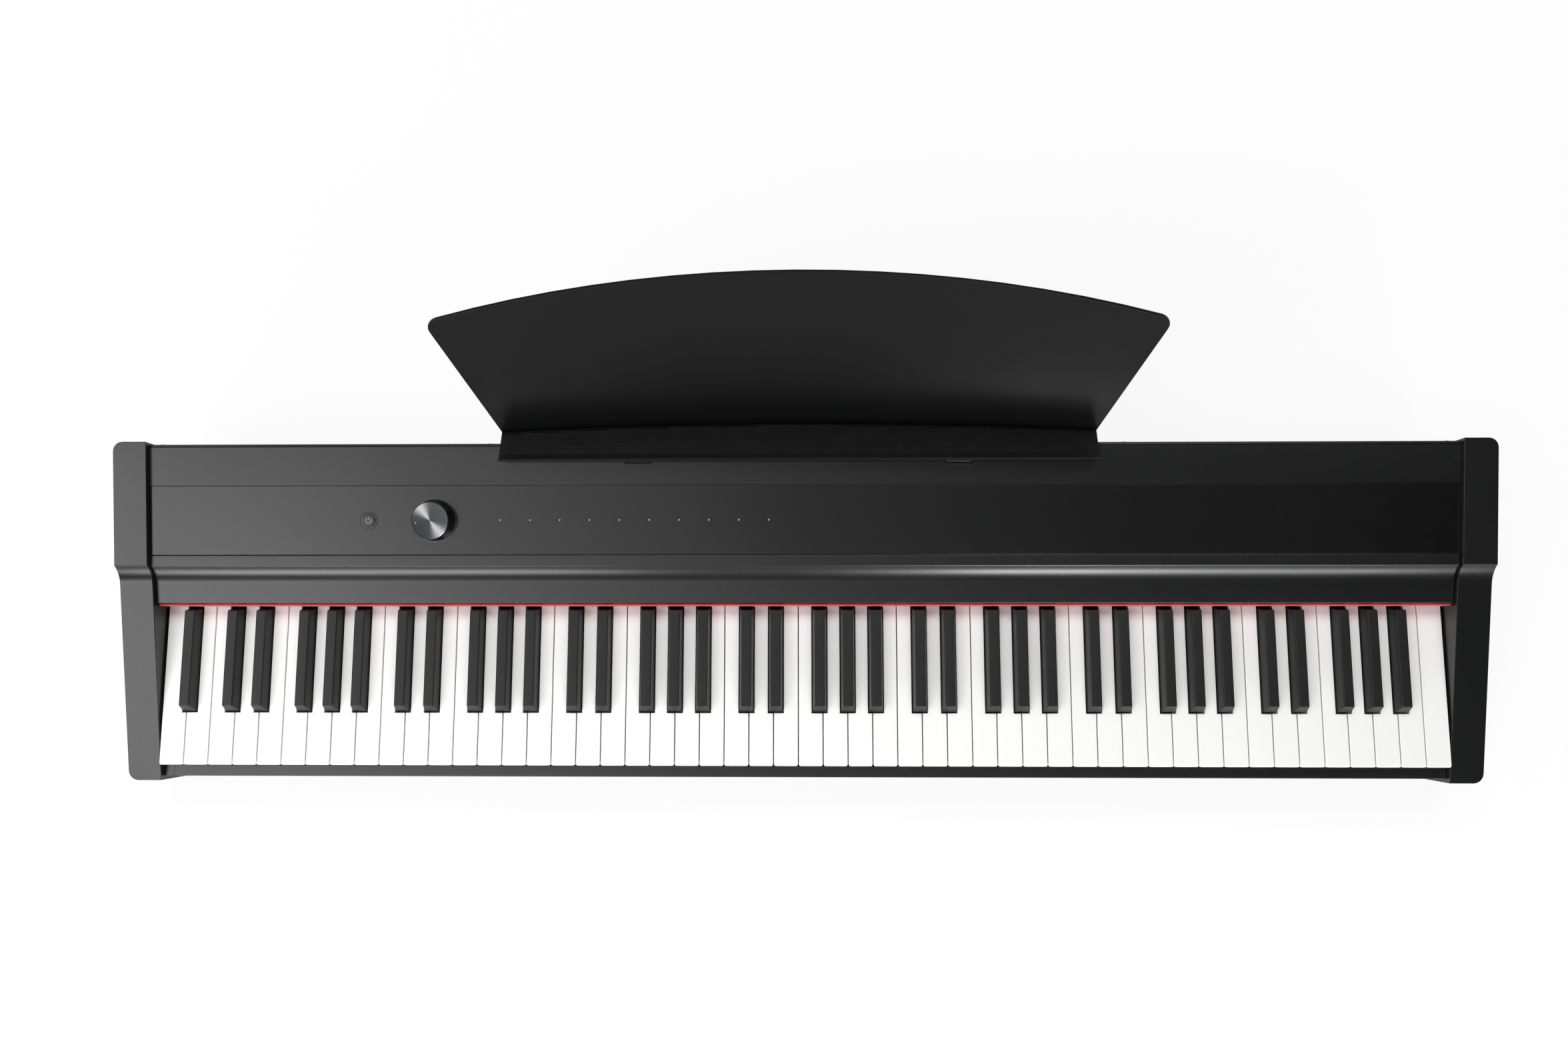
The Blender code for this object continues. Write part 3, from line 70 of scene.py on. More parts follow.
# Places read from the frame
KEY_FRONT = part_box("key_C4")[0].y
KEY_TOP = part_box("key_C4")[1].z
PANEL_LOW, PANEL_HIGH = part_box("control_panel")
KNOB_LOW, KNOB_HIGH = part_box("knob_cap")
POWER_LOW, POWER_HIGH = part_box("power_button")
GUIDE_LOW, GUIDE_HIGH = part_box("touch_light_guide")
LEDGE_LOW, LEDGE_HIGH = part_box("music_rest_ledge")
REAR_LOW, REAR_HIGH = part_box("rear_panel")
BOARD_LOW, BOARD_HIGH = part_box("bottom_board")
JACKS_LOW, JACKS_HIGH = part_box("jack_board")
FOOT_LOW, FOOT_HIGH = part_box("rear_right_foot")
NOSE_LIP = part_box("fascia")[0].y
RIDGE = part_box("fascia")[1].z

# Sizes that the frame doesn't hold
WELD = 0.00002
PANEL_TILT = atan2(0.144, 1.0)
PANEL_NORMAL = Vector((0.0, -sin(PANEL_TILT), cos(PANEL_TILT)))
CLEAR = 0.00005
TOUCH_COUNT = 10
GUIDE_MARGIN = 0.006
REST_TILT = radians(26.0)
LEDGE_SLOPE = radians(18.0)
LEDGE_LIP = 0.0018
REST_BOW = 0.008
SCREW_X = (-0.606, -0.292, 0.306, 0.606)
AUDIO_JACK_X = (0.345, 0.370, 0.420)
POWER_INLET_X = 0.255
DATA_PORT_X = 0.295
SOCKET_Z = 0.046
BLACK_WELD = 0.0005

CONTROL_Y = KEY_FRONT + 0.2300
POWER_PROUD = 0.0012
KNOB_RISE = 0.0003
KNOB_TOP = 0.0150
KNOB_CAP = 0.0012
KNOB_BASE_RADIUS = 0.0197
KNOB_TOP_RADIUS = 0.0178

# Photograph and camera
PHOTO_WIDTH = 2352
FOCAL_PIXELS = 1696.3
LEDGE_LIP_RISE = 0.0025
FRAME_SCREW_Y = KEY_FRONT + 0.080

# Stage
FLOOR_HALF = 8.0
FLOOR_Z = -0.0002
FLOOR_WHITE = 0.85
OVERHEAD_Z = 2.5
OVERHEAD_SPAN = (-3.2, 1.73, -1.9, 0.1)
OVERHEAD_GLOW = ((-3.2, 0.9), (-1.7, 0.8), (-1.0, 0.42), (0.0, 0.13), (1.06, 0.035), (1.73, 0.03))
OVERHEAD_BACK_LEVEL = 3.3
OVERHEAD_FRONT_LEVEL = 6.6
SKY_HORIZON = 0.35
SKY_OVERHEAD = 0.03
LAMPS = (
    ("rear_softbox", (0.2, 1.5, 2.6), (0.1, 0.0, 0.0), 3.0, 1.2, 56.0),
    ("left_softbox", (-2.6, 0.4, 2.0), (-0.2, 0.0, 0.0), 1.4, 1.4, 10.0),
    ("front_left_strip", (-1.4, -2.6, 0.9), (-0.5, 0.0, 0.1), 1.5, 0.8, 34.0),
    ("front_right_strip", (1.15, -2.6, 0.9), (0.4, 0.0, 0.1), 1.6, 0.8, 34.0),
    ("front_spot_strip", (0.78, -2.55, 0.95), (0.2, 0.0, 0.1), 0.45, 0.7, 14.0),
)
CAMERA_PLACE = (0.00737, -0.10223, 1.17289)
CAMERA_TURN = (radians(7.2375), radians(1.1063), radians(0.0401))
SENSOR = 36.0


class PianoSizes(bpy.types.PropertyGroup):
    """Sizes of roundings, ribs and small parts."""

    white_round: FloatProperty(
        name="White key edge", description="Radius on the white keys' top edges",
        default=0.0007, min=0.0, unit="LENGTH")
    black_round: FloatProperty(
        name="Black key edge", description="Radius on the black keys' edges",
        default=0.0009, min=0.0, unit="LENGTH")
    case_round: FloatProperty(
        name="Case edge", description="Radius on the case mouldings' edges",
        default=0.0009, min=0.0, unit="LENGTH")
    panel_round: FloatProperty(
        name="Panel edge", description="Radius on the smooth panels' edges",
        default=0.0004, min=0.0, unit="LENGTH")
    rib_count: IntProperty(
        name="Ribs", description="Ribs along the music ledge", default=16, min=0)
    rib_pitch: FloatProperty(
        name="Rib pitch", description="Distance from one rib to the next",
        default=0.0019, min=0.0005, unit="LENGTH")
    rib_height: FloatProperty(
        name="Rib height", description="How far the ribs stand over the ledge",
        default=0.0007, min=0.0001, unit="LENGTH")
    screw_radius: FloatProperty(
        name="Screw head radius", description="Radius of the pan heads",
        default=0.0037, min=0.001, unit="LENGTH")
    screw_height: FloatProperty(
        name="Screw head height", description="Height of the pan heads",
        default=0.0022, min=0.0005, unit="LENGTH")
    symbol_radius: FloatProperty(
        name="Power symbol radius", description="Radius of the arc on the power button",
        default=0.0026, min=0.0005, unit="LENGTH")


class PianoColours(bpy.types.PropertyGroup):
    """Main colours, linear."""

    white_key: FloatVectorProperty(
        name="White keys", description="Colour of the white keys", subtype="COLOR",
        default=(0.84, 0.84, 0.83), min=0.0, max=1.0)
    black_key: FloatVectorProperty(
        name="Black keys", description="Colour of the black keys", subtype="COLOR",
        default=(0.0080, 0.0083, 0.0086), min=0.0, max=1.0)
    case: FloatVectorProperty(
        name="Case", description="Colour of the satin mouldings", subtype="COLOR",
        default=(0.0060, 0.0062, 0.0065), min=0.0, max=1.0)
    panel: FloatVectorProperty(
        name="Panels", description="Colour of the smooth panels", subtype="COLOR",
        default=(0.0030, 0.0031, 0.0033), min=0.0, max=1.0)
    felt: FloatVectorProperty(
        name="Felt", description="Colour of the strip over the keys", subtype="COLOR",
        default=(0.62, 0.018, 0.025), min=0.0, max=1.0)
    floor: FloatVectorProperty(
        name="Floor", description="Colour of the studio floor", subtype="COLOR",
        default=(0.90, 0.90, 0.90), min=0.0, max=1.0)


def sizes():
    return bpy.context.scene.piano_sizes


def colours():
    return bpy.context.scene.piano_colours


# Shader groups

def new_group(name, inputs, outputs):
    """A shader group with float, vector or colour sockets, and its input and output nodes."""
    tree = bpy.data.node_groups.new(name, "ShaderNodeTree")
    for label, kind, default in inputs:
        socket = tree.interface.new_socket(label, in_out="INPUT", socket_type=kind)
        if default is not None:
            socket.default_value = default
    for label, kind in outputs:
        tree.interface.new_socket(label, in_out="OUTPUT", socket_type=kind)
    return tree, tree.nodes.new("NodeGroupInput"), tree.nodes.new("NodeGroupOutput")


def math_node(tree, operation, first, second=None):
    node = tree.nodes.new("ShaderNodeMath")
    node.operation = operation
    for index, value in enumerate((first, second)):
        if value is None:
            continue
        if isinstance(value, (int, float)):
            node.inputs[index].default_value = value
        else:
            tree.links.new(value, node.inputs[index])
    return node.outputs[0]


def noise_node(tree, vector, scale, detail=3.0):
    node = tree.nodes.new("ShaderNodeTexNoise")
    node.inputs["Detail"].default_value = detail
    tree.links.new(vector, node.inputs["Vector"])
    if isinstance(scale, (int, float)):
        node.inputs["Scale"].default_value = scale
    else:
        tree.links.new(scale, node.inputs["Scale"])
    return node.outputs["Fac"]


def grain_group():
    """Moulded grain: fine height, and a roughness that wanders slowly over the surface."""
    tree, entry, leave = new_group(
        "moulded_grain",
        (("Vector", "NodeSocketVector", None), ("Grains per metre", "NodeSocketFloat", 1500.0),
         ("Roughness", "NodeSocketFloat", 0.4), ("Spread", "NodeSocketFloat", 0.05)),
        (("Height", "NodeSocketFloat"), ("Roughness", "NodeSocketFloat")),
    )
    fine = noise_node(tree, entry.outputs["Vector"], entry.outputs["Grains per metre"])
    slow = noise_node(tree, entry.outputs["Vector"], 7.0, 2.0)
    wander = math_node(tree, "MULTIPLY", math_node(tree, "SUBTRACT", slow, 0.5), entry.outputs["Spread"])
    speck = math_node(tree, "MULTIPLY", math_node(tree, "SUBTRACT", fine, 0.5), entry.outputs["Spread"])
    total = math_node(tree, "ADD", math_node(tree, "ADD", entry.outputs["Roughness"], wander), speck)
    tree.links.new(fine, leave.inputs["Height"])
    tree.links.new(total, leave.inputs["Roughness"])
    return tree


def wear_group():
    """Colour after handling: paler on convex edges, and a trace of dust where it faces up."""
    tree, entry, leave = new_group(
        "handling_wear",
        (("Vector", "NodeSocketVector", None), ("Colour", "NodeSocketColor", None),
         ("Edge colour", "NodeSocketColor", None), ("Edge amount", "NodeSocketFloat", 0.2),
         ("Dust", "NodeSocketFloat", 0.01)),
        (("Colour", "NodeSocketColor"),),
    )
    shape = tree.nodes.new("ShaderNodeNewGeometry")
    ramp = tree.nodes.new("ShaderNodeMapRange")
    ramp.inputs["From Min"].default_value = 0.53
    ramp.inputs["From Max"].default_value = 0.62
    tree.links.new(shape.outputs["Pointiness"], ramp.inputs["Value"])
    patchy = noise_node(tree, entry.outputs["Vector"], 90.0, 4.0)
    edge = math_node(tree, "MULTIPLY", math_node(tree, "MULTIPLY", ramp.outputs[0], patchy),
                     entry.outputs["Edge amount"])
    worn = tree.nodes.new("ShaderNodeMix")
    worn.data_type = "RGBA"
    tree.links.new(edge, worn.inputs["Factor"])
    tree.links.new(entry.outputs["Colour"], worn.inputs["A"])
    tree.links.new(entry.outputs["Edge colour"], worn.inputs["B"])
    split = tree.nodes.new("ShaderNodeSeparateXYZ")
    tree.links.new(shape.outputs["Normal"], split.inputs["Vector"])
    specks = math_node(tree, "POWER", noise_node(tree, entry.outputs["Vector"], 420.0, 5.0), 3.0)
    facing = math_node(tree, "MAXIMUM", split.outputs["Z"], 0.0)
    dust = math_node(tree, "MULTIPLY", math_node(tree, "MULTIPLY", specks, facing), entry.outputs["Dust"])
    dusted = tree.nodes.new("ShaderNodeMix")
    dusted.data_type = "RGBA"
    dusted.inputs["B"].default_value = (0.55, 0.54, 0.52, 1.0)
    tree.links.new(dust, dusted.inputs["Factor"])
    tree.links.new(worn.outputs["Result"], dusted.inputs["A"])
    tree.links.new(dusted.outputs["Result"], leave.inputs["Colour"])
    return tree


def fibre_group():
    """Pressed fibres: a stretched noise for height, and a light and dark mottle."""
    tree, entry, leave = new_group(
        "pressed_fibres",
        (("Vector", "NodeSocketVector", None), ("Colour", "NodeSocketColor", None),
         ("Fibres per metre", "NodeSocketFloat", 900.0), ("Mottle", "NodeSocketFloat", 0.5)),
        (("Colour", "NodeSocketColor"), ("Height", "NodeSocketFloat")),
    )
    stretch = tree.nodes.new("ShaderNodeMapping")
    stretch.inputs["Scale"].default_value = (0.35, 1.0, 1.6)
    tree.links.new(entry.outputs["Vector"], stretch.inputs["Vector"])
    fibres = noise_node(tree, stretch.outputs["Vector"], entry.outputs["Fibres per metre"], 6.0)
    level = math_node(tree, "ADD", math_node(
        tree, "MULTIPLY", math_node(tree, "SUBTRACT", fibres, 0.5), entry.outputs["Mottle"]), 1.0)
    scaled = tree.nodes.new("ShaderNodeVectorMath")
    scaled.operation = "SCALE"
    tree.links.new(entry.outputs["Colour"], scaled.inputs[0])
    tree.links.new(level, scaled.inputs["Scale"])
    tree.links.new(scaled.outputs["Vector"], leave.inputs["Colour"])
    tree.links.new(fibres, leave.inputs["Height"])
    return tree


def turned_and_streak_group():
    """Turning marks: rings round the Z axis of the incoming vector, and a painted streak: two bright lobes
    at a fixed turn, a painted highlight.
    """
    tree, entry, leave = new_group(
        "turning_marks",
        (("Vector", "NodeSocketVector", None), ("Rings per metre", "NodeSocketFloat", 4000.0)),
        (("Height", "NodeSocketFloat"), ("Shade", "NodeSocketFloat")),
    )
    flat = tree.nodes.new("ShaderNodeVectorMath")
    flat.operation = "MULTIPLY"
    flat.inputs[1].default_value = (1.0, 1.0, 0.0)
    tree.links.new(entry.outputs["Vector"], flat.inputs[0])
    length = tree.nodes.new("ShaderNodeVectorMath")
    length.operation = "LENGTH"
    tree.links.new(flat.outputs["Vector"], length.inputs[0])
    rings = math_node(tree, "MULTIPLY", length.outputs["Value"], entry.outputs["Rings per metre"])
    tree.links.new(math_node(tree, "FRACT", rings), leave.inputs["Height"])
    split = tree.nodes.new("ShaderNodeSeparateXYZ")
    tree.links.new(entry.outputs["Vector"], split.inputs["Vector"])
    # Painted highlight: the streak is two bright lobes at a fixed turn about the axis, not a property of the
    # metal.
    turn = math_node(tree, "ARCTAN2", split.outputs["Y"], split.outputs["X"])
    lobes = math_node(tree, "ABSOLUTE", math_node(tree, "COSINE", math_node(tree, "ADD", turn, 0.92)))
    tree.links.new(math_node(tree, "POWER", lobes, 14.0), leave.inputs["Shade"])
    return tree


GROUP_MAKERS = {
    "moulded_grain": grain_group,
    "handling_wear": wear_group,
    "pressed_fibres": fibre_group,
    "turning_marks": turned_and_streak_group,
}


def place_group(tree, name):
    """A group node in a material's tree; the group itself is built the first time."""
    group = bpy.data.node_groups.get(name) or GROUP_MAKERS[name]()
    node = tree.nodes.new("ShaderNodeGroup")
    node.node_tree = group
    return node


# Materials

def new_material(name, colour, roughness, metallic=0.0, ior=1.5):
    material = bpy.data.materials.new(name)
    material.use_nodes = True
    shader = material.node_tree.nodes["Principled BSDF"]
    shader.inputs["Base Color"].default_value = (*colour, 1.0)
    shader.inputs["Roughness"].default_value = roughness
    shader.inputs["Metallic"].default_value = metallic
    shader.inputs["IOR"].default_value = ior
    material.diffuse_color = (*colour, 1.0)
    return material, material.node_tree, shader


def object_vector(tree, centre=None, turn=None):
    """Object coordinates, moved and turned so that a pattern is centred on a piece."""
    source = tree.nodes.new("ShaderNodeTexCoord").outputs["Object"]
    if centre is None:
        return source
    mapping = tree.nodes.new("ShaderNodeMapping")
    mapping.vector_type = "TEXTURE"
    mapping.inputs["Location"].default_value = centre
    mapping.inputs["Rotation"].default_value = turn or (0.0, 0.0, 0.0)
    tree.links.new(source, mapping.inputs["Vector"])
    return mapping.outputs["Vector"]


def add_bump(tree, shader, height, depth, strength):
    bump = tree.nodes.new("ShaderNodeBump")
    bump.inputs["Distance"].default_value = depth
    bump.inputs["Strength"].default_value = strength
    tree.links.new(height, bump.inputs["Height"])
    tree.links.new(bump.outputs["Normal"], shader.inputs["Normal"])


def moulded_plastic(name, colour, roughness, grains=1500.0, depth=0.00003, strength=0.35,
                    spread=0.06, edge=0.25, dust=0.006, edge_colour=(0.05, 0.05, 0.05), specular=0.5):
    """Moulded plastic with its grain, handled edges and a trace of dust."""
    material, tree, shader = new_material(name, colour, roughness)
    shader.inputs["Specular IOR Level"].default_value = specular
    vector = object_vector(tree)
    grain = place_group(tree, "moulded_grain")
    grain.inputs["Grains per metre"].default_value = grains
    grain.inputs["Roughness"].default_value = roughness
    grain.inputs["Spread"].default_value = spread
    tree.links.new(vector, grain.inputs["Vector"])
    tree.links.new(grain.outputs["Roughness"], shader.inputs["Roughness"])
    add_bump(tree, shader, grain.outputs["Height"], depth, strength)
    wear = place_group(tree, "handling_wear")
    wear.inputs["Colour"].default_value = (*colour, 1.0)
    wear.inputs["Edge colour"].default_value = (*edge_colour, 1.0)
    wear.inputs["Edge amount"].default_value = edge
    wear.inputs["Dust"].default_value = dust
    tree.links.new(vector, wear.inputs["Vector"])
    tree.links.new(wear.outputs["Colour"], shader.inputs["Base Color"])
    return material


def sheet_metal(name, colour, roughness, grains=600.0, metallic=1.0):
    material, tree, shader = new_material(name, colour, roughness, metallic)
    grain = place_group(tree, "moulded_grain")
    grain.inputs["Grains per metre"].default_value = grains
    grain.inputs["Roughness"].default_value = roughness
    grain.inputs["Spread"].default_value = 0.15
    tree.links.new(object_vector(tree), grain.inputs["Vector"])
    tree.links.new(grain.outputs["Roughness"], shader.inputs["Roughness"])
    add_bump(tree, shader, grain.outputs["Height"], 0.00002, 0.2)
    return material


def felt(name, colour, fibres=900.0):
    material, tree, shader = new_material(name, colour, 0.95)
    shader.inputs["Sheen Weight"].default_value = 0.35
    fibre = place_group(tree, "pressed_fibres")
    fibre.inputs["Colour"].default_value = (*colour, 1.0)
    fibre.inputs["Fibres per metre"].default_value = fibres
    tree.links.new(object_vector(tree), fibre.inputs["Vector"])
    tree.links.new(fibre.outputs["Colour"], shader.inputs["Base Color"])
    add_bump(tree, shader, fibre.outputs["Height"], 0.0003, 0.7)
    return material


def spun_metal(name):
    """The knob's cap: dark metal with turning marks, and a bright radial streak painted into its colour as a
    painted highlight.
    """
    material, tree, shader = new_material(name, (0.05, 0.051, 0.053), 0.30, 1.0)
    centre = (KNOB_LOW + KNOB_HIGH) / 2
    vector = object_vector(tree, centre, (PANEL_TILT, 0.0, 0.0))
    marks_and_streak = place_group(tree, "turning_marks")
    tree.links.new(vector, marks_and_streak.inputs["Vector"])
    # Painted highlight: the cap's colour goes from dark metal to pale grey along the streak.
    mix = tree.nodes.new("ShaderNodeMix")
    mix.data_type = "RGBA"
    mix.inputs["A"].default_value = (0.045, 0.046, 0.048, 1.0)
    mix.inputs["B"].default_value = (0.33, 0.33, 0.34, 1.0)
    tree.links.new(marks_and_streak.outputs["Shade"], mix.inputs["Factor"])
    tree.links.new(mix.outputs["Result"], shader.inputs["Base Color"])
    shader.inputs["Anisotropic"].default_value = 0.6
    tangent = tree.nodes.new("ShaderNodeTangent")
    tangent.direction_type = "RADIAL"
    tangent.axis = "Z"
    tree.links.new(tangent.outputs["Tangent"], shader.inputs["Tangent"])
    add_bump(tree, shader, marks_and_streak.outputs["Height"], 0.00002, 0.25)
    return material


def finish(name):
    """The named finish; each is made once."""
    made = bpy.data.materials.get(name)
    if made:
        return made
    tint = colours()
    grey = (0.30, 0.30, 0.30)
    recipes = {
        "white key gloss": lambda: moulded_plastic(
            name, tint.white_key, 0.24, 700.0, 0.00001, 0.15, 0.05, 0.0, 0.0, (0.9, 0.9, 0.88)),
        "black key matt": lambda: moulded_plastic(
            name, tint.black_key, 0.42, 2600.0, 0.00003, 0.4, 0.08, 0.35, 0.006, specular=0.3),
        "case satin": lambda: moulded_plastic(
            name, tint.case, 0.27, 2200.0, 0.00002, 0.30, 0.06, 0.30, specular=0.5),
        "panel smooth": lambda: moulded_plastic(
            name, tint.panel, 0.18, 900.0, 0.00001, 0.12, 0.04, 0.15, 0.004),
        "rest satin": lambda: moulded_plastic(
            name, tint.panel, 0.30, 1800.0, 0.00002, 0.15, 0.04, 0.25, 0.004, specular=0.14),
        "button satin": lambda: moulded_plastic(name, tint.black_key, 0.36, 2600.0, 0.00002, 0.3),
        "knob side": lambda: moulded_plastic(name, tint.panel, 0.28, 2000.0, 0.00002, 0.2),
        "socket plastic": lambda: moulded_plastic(name, (0.02, 0.02, 0.02), 0.5),
        "board fibre": lambda: moulded_plastic(name, (0.035, 0.034, 0.033), 0.7, 500.0, 0.0001, 0.5),
        "printed mark": lambda: moulded_plastic(
            name, (0.32, 0.32, 0.32), 0.5, 3000.0, 0.00001, 0.1, 0.03, 0.0, 0.0, grey),
        "light guide": lambda: moulded_plastic(
            name, (0.27, 0.27, 0.275), 0.35, 3000.0, 0.00001, 0.1, 0.03, 0.0, 0.0, grey),
        "rubber": lambda: moulded_plastic(name, (0.018, 0.018, 0.018), 0.8, 900.0, 0.0001, 0.6),
        "circuit board": lambda: moulded_plastic(
            name, (0.012, 0.10, 0.035), 0.42, 300.0, 0.0001, 0.3, 0.1, 0.1, 0.0, (0.25, 0.3, 0.2)),
        "zinc sheet": lambda: sheet_metal(name, (0.45, 0.46, 0.47), 0.38),
        "spring steel": lambda: sheet_metal(name, (0.40, 0.40, 0.42), 0.28),
        "button ring": lambda: sheet_metal(name, (0.10, 0.10, 0.105), 0.35),
        "black screw": lambda: sheet_metal(name, (0.035, 0.035, 0.038), 0.34),
        "bright collar": lambda: sheet_metal(name, (0.62, 0.62, 0.63), 0.16),
        "red felt": lambda: felt(name, tint.felt),
        "dark felt": lambda: felt(name, (0.04, 0.04, 0.045)),
        "cone paper": lambda: felt(name, (0.03, 0.03, 0.032), 1400.0),
        "spun cap": lambda: spun_metal(name),
    }
    return recipes[name]()


# Mesh helpers

def smooth_by_angle(mesh, degrees=38.0):
    mesh.shade_smooth()
    mesh.set_sharp_from_angle(angle=radians(degrees))


def settle(name, mesh, node, finish_name, replaced=()):
    """Links a finished mesh as a piece that rides with a node's body, with the named finish, and hides the
    nodes it replaces.
    """
    mesh.materials.clear()
    mesh.materials.append(finish(finish_name))
    piece = bpy.data.objects.new(name, mesh)
    bpy.context.scene.collection.objects.link(piece)
    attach(piece, NODE_BODY[node])
    if replaced:
        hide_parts(*replaced)
    return piece


def weighed(mesh):
    """The mesh with its normals weighed by face area, so that large flat faces shade flat."""
    holder = bpy.data.objects.new(mesh.name, mesh)
    bpy.context.scene.collection.objects.link(holder)
    modifier = holder.modifiers.new("face_area", "WEIGHTED_NORMAL")
    modifier.mode = "FACE_AREA_WITH_ANGLE"
    modifier.keep_sharp = True
    bpy.context.view_layer.update()
    graph = bpy.context.evaluated_depsgraph_get()
    result = bpy.data.meshes.new_from_object(holder.evaluated_get(graph))
    holder.modifiers.remove(modifier)
    bpy.data.objects.remove(holder)
    return result


def rounded(node, radius, finish_name, sharp=50.0, weld=WELD, within=None, segments=2):
    """A copy of a CAD node with its sharp edges rounded, which then stands for the node."""
    shape = bmesh.new()
    shape.from_mesh(frame["nodes"][node].data)
    bmesh.ops.remove_doubles(shape, verts=shape.verts, dist=weld)
    bmesh.ops.dissolve_limit(shape, angle_limit=radians(0.6), verts=shape.verts, edges=shape.edges)
    bmesh.ops.recalc_face_normals(shape, faces=shape.faces)
    edges = [e for e in shape.edges if e.is_manifold and e.calc_face_angle() > radians(sharp)]
    if within:
        edges = [e for e in edges if within((e.verts[0].co + e.verts[1].co) / 2)]
    if radius and edges:
        bmesh.ops.bevel(shape, geom=edges, offset=radius, offset_type="OFFSET", segments=segments,
                        profile=0.5, affect="EDGES", clamp_overlap=True)
    bmesh.ops.triangulate(shape, faces=shape.faces)
    mesh = bpy.data.meshes.new(node + "_rounded")
    shape.to_mesh(mesh)
    shape.free()
    smooth_by_angle(mesh)
    return settle(node + "_rounded", weighed(mesh), node, finish_name, (node,))


def paint(finish_name, *nodes):
    """Gives CAD nodes that stay as they are a finish."""
    for node in nodes:
        obj = frame["nodes"][node]
        if not obj.material_slots:
            obj.data.materials.append(finish(finish_name))
        for place in obj.material_slots:
            place.material = finish(finish_name)


def turned_mesh(name, profile, steps=48, place=None):
    """A closed turned mesh about Z from (radius, height) pairs; a radius of 0 closes on the axis."""
    shape = bmesh.new()
    rings = []
    for radius, height in profile:
        if radius == 0.0:
            rings.append([shape.verts.new((0.0, 0.0, height))])
            continue
        rings.append([
            shape.verts.new((radius * cos(tau * i / steps), radius * sin(tau * i / steps), height))
            for i in range(steps)
        ])
    for low, high in zip(rings, rings[1:]):
        for i in range(steps):
            j = (i + 1) % steps
            corners = [low[i % len(low)], low[j % len(low)], high[j % len(high)], high[i % len(high)]]
            shape.faces.new(list(dict.fromkeys(corners)))
    bmesh.ops.recalc_face_normals(shape, faces=shape.faces)
    mesh = bpy.data.meshes.new(name)
    shape.to_mesh(mesh)
    shape.free()
    if place:
        mesh.transform(place)
    smooth_by_angle(mesh)
    return mesh


def on_axis(point, axis):
    """A matrix that stands +Z along an axis at a point."""
    return Matrix.Translation(point) @ Vector(axis).to_track_quat("Z", "Y").to_matrix().to_4x4()


def on_panel(x, rise=0.0):
    """A point over the panel's control line, lifted along the panel's normal."""
    top = PANEL_HIGH.z - (PANEL_HIGH.y - CONTROL_Y) * sin(PANEL_TILT) / cos(PANEL_TILT)
    return Vector((x, CONTROL_Y, top)) + PANEL_NORMAL * rise


def ring_mesh(name, inner, outer, low, high, place, steps=48):
    """A flat ring with a square section."""
    shape = bmesh.new()
    rings = []
    for radius, height in ((inner, low), (outer, low), (outer, high), (inner, high)):
        rings.append([
            shape.verts.new((radius * cos(tau * i / steps), radius * sin(tau * i / steps), height))
            for i in range(steps)
        ])
    for k, ring in enumerate(rings):
        following = rings[(k + 1) % 4]
        for i in range(steps):
            j = (i + 1) % steps
            shape.faces.new((ring[i], ring[j], following[j], following[i]))
    bmesh.ops.recalc_face_normals(shape, faces=shape.faces)
    mesh = bpy.data.meshes.new(name)
    shape.to_mesh(mesh)
    shape.free()
    mesh.transform(place)
    smooth_by_angle(mesh)
    return mesh


def ribbon(shape, path, width, low, high):
    """Adds a flat ribbon of even width along a path in X and Y to a bmesh, as one closed body."""
    left = []
    right = []
    for i, point in enumerate(path):
        before = path[max(i - 1, 0)]
        after = path[min(i + 1, len(path) - 1)]
        along = (Vector(after) - Vector(before)).normalized()
        side = Vector((-along.y, along.x)) * width / 2
        left.append(Vector(point) + side)
        right.append(Vector(point) - side)
    outline = left + right[::-1]
    floor = [shape.verts.new((q.x, q.y, low)) for q in outline]
    roof = [shape.verts.new((q.x, q.y, high)) for q in outline]
    count = len(outline)
    last = count - 1
    for i in range(len(path) - 1):
        shape.faces.new((floor[i], floor[i + 1], floor[last - i - 1], floor[last - i]))
        shape.faces.new((roof[i], roof[last - i], roof[last - i - 1], roof[i + 1]))
    for i in range(count):
        j = (i + 1) % count
        shape.faces.new((floor[i], roof[i], roof[j], floor[j]))


def box_into(shape, low, high):
    made = bmesh.ops.create_cube(shape, size=1.0)["verts"]
    centre = (Vector(low) + Vector(high)) / 2
    size = Vector(high) - Vector(low)
    for vert in made:
        vert.co = centre + Vector((vert.co.x * size.x, vert.co.y * size.y, vert.co.z * size.z))


def mesh_from(shape, name, place=None, degrees=38.0):
    bmesh.ops.recalc_face_normals(shape, faces=shape.faces)
    mesh = bpy.data.meshes.new(name)
    shape.to_mesh(mesh)
    shape.free()
    if place:
        mesh.transform(place)
    smooth_by_angle(mesh, degrees)
    return mesh


# Geometry node trees

def new_shape_tree(name, inputs):
    """A geometry tree with a Geometry input, the named inputs and a Geometry output."""
    tree = bpy.data.node_groups.new(name, "GeometryNodeTree")
    tree.interface.new_socket("Geometry", in_out="INPUT", socket_type="NodeSocketGeometry")
    for label, kind, default in inputs:
        socket = tree.interface.new_socket(label, in_out="INPUT", socket_type=kind)
        if default is not None:
            socket.default_value = default
    tree.interface.new_socket("Geometry", in_out="OUTPUT", socket_type="NodeSocketGeometry")
    return tree, tree.nodes.new("NodeGroupInput"), tree.nodes.new("NodeGroupOutput")


def realised(tree, instances, material_socket, leave):
    """Ends a tree in Realize Instances and Set Material."""
    real = tree.nodes.new("GeometryNodeRealizeInstances")
    coat = tree.nodes.new("GeometryNodeSetMaterial")
    tree.links.new(instances, real.inputs["Geometry"])
    tree.links.new(real.outputs["Geometry"], coat.inputs["Geometry"])
    tree.links.new(material_socket, coat.inputs["Material"])
    tree.links.new(coat.outputs["Geometry"], leave.inputs["Geometry"])


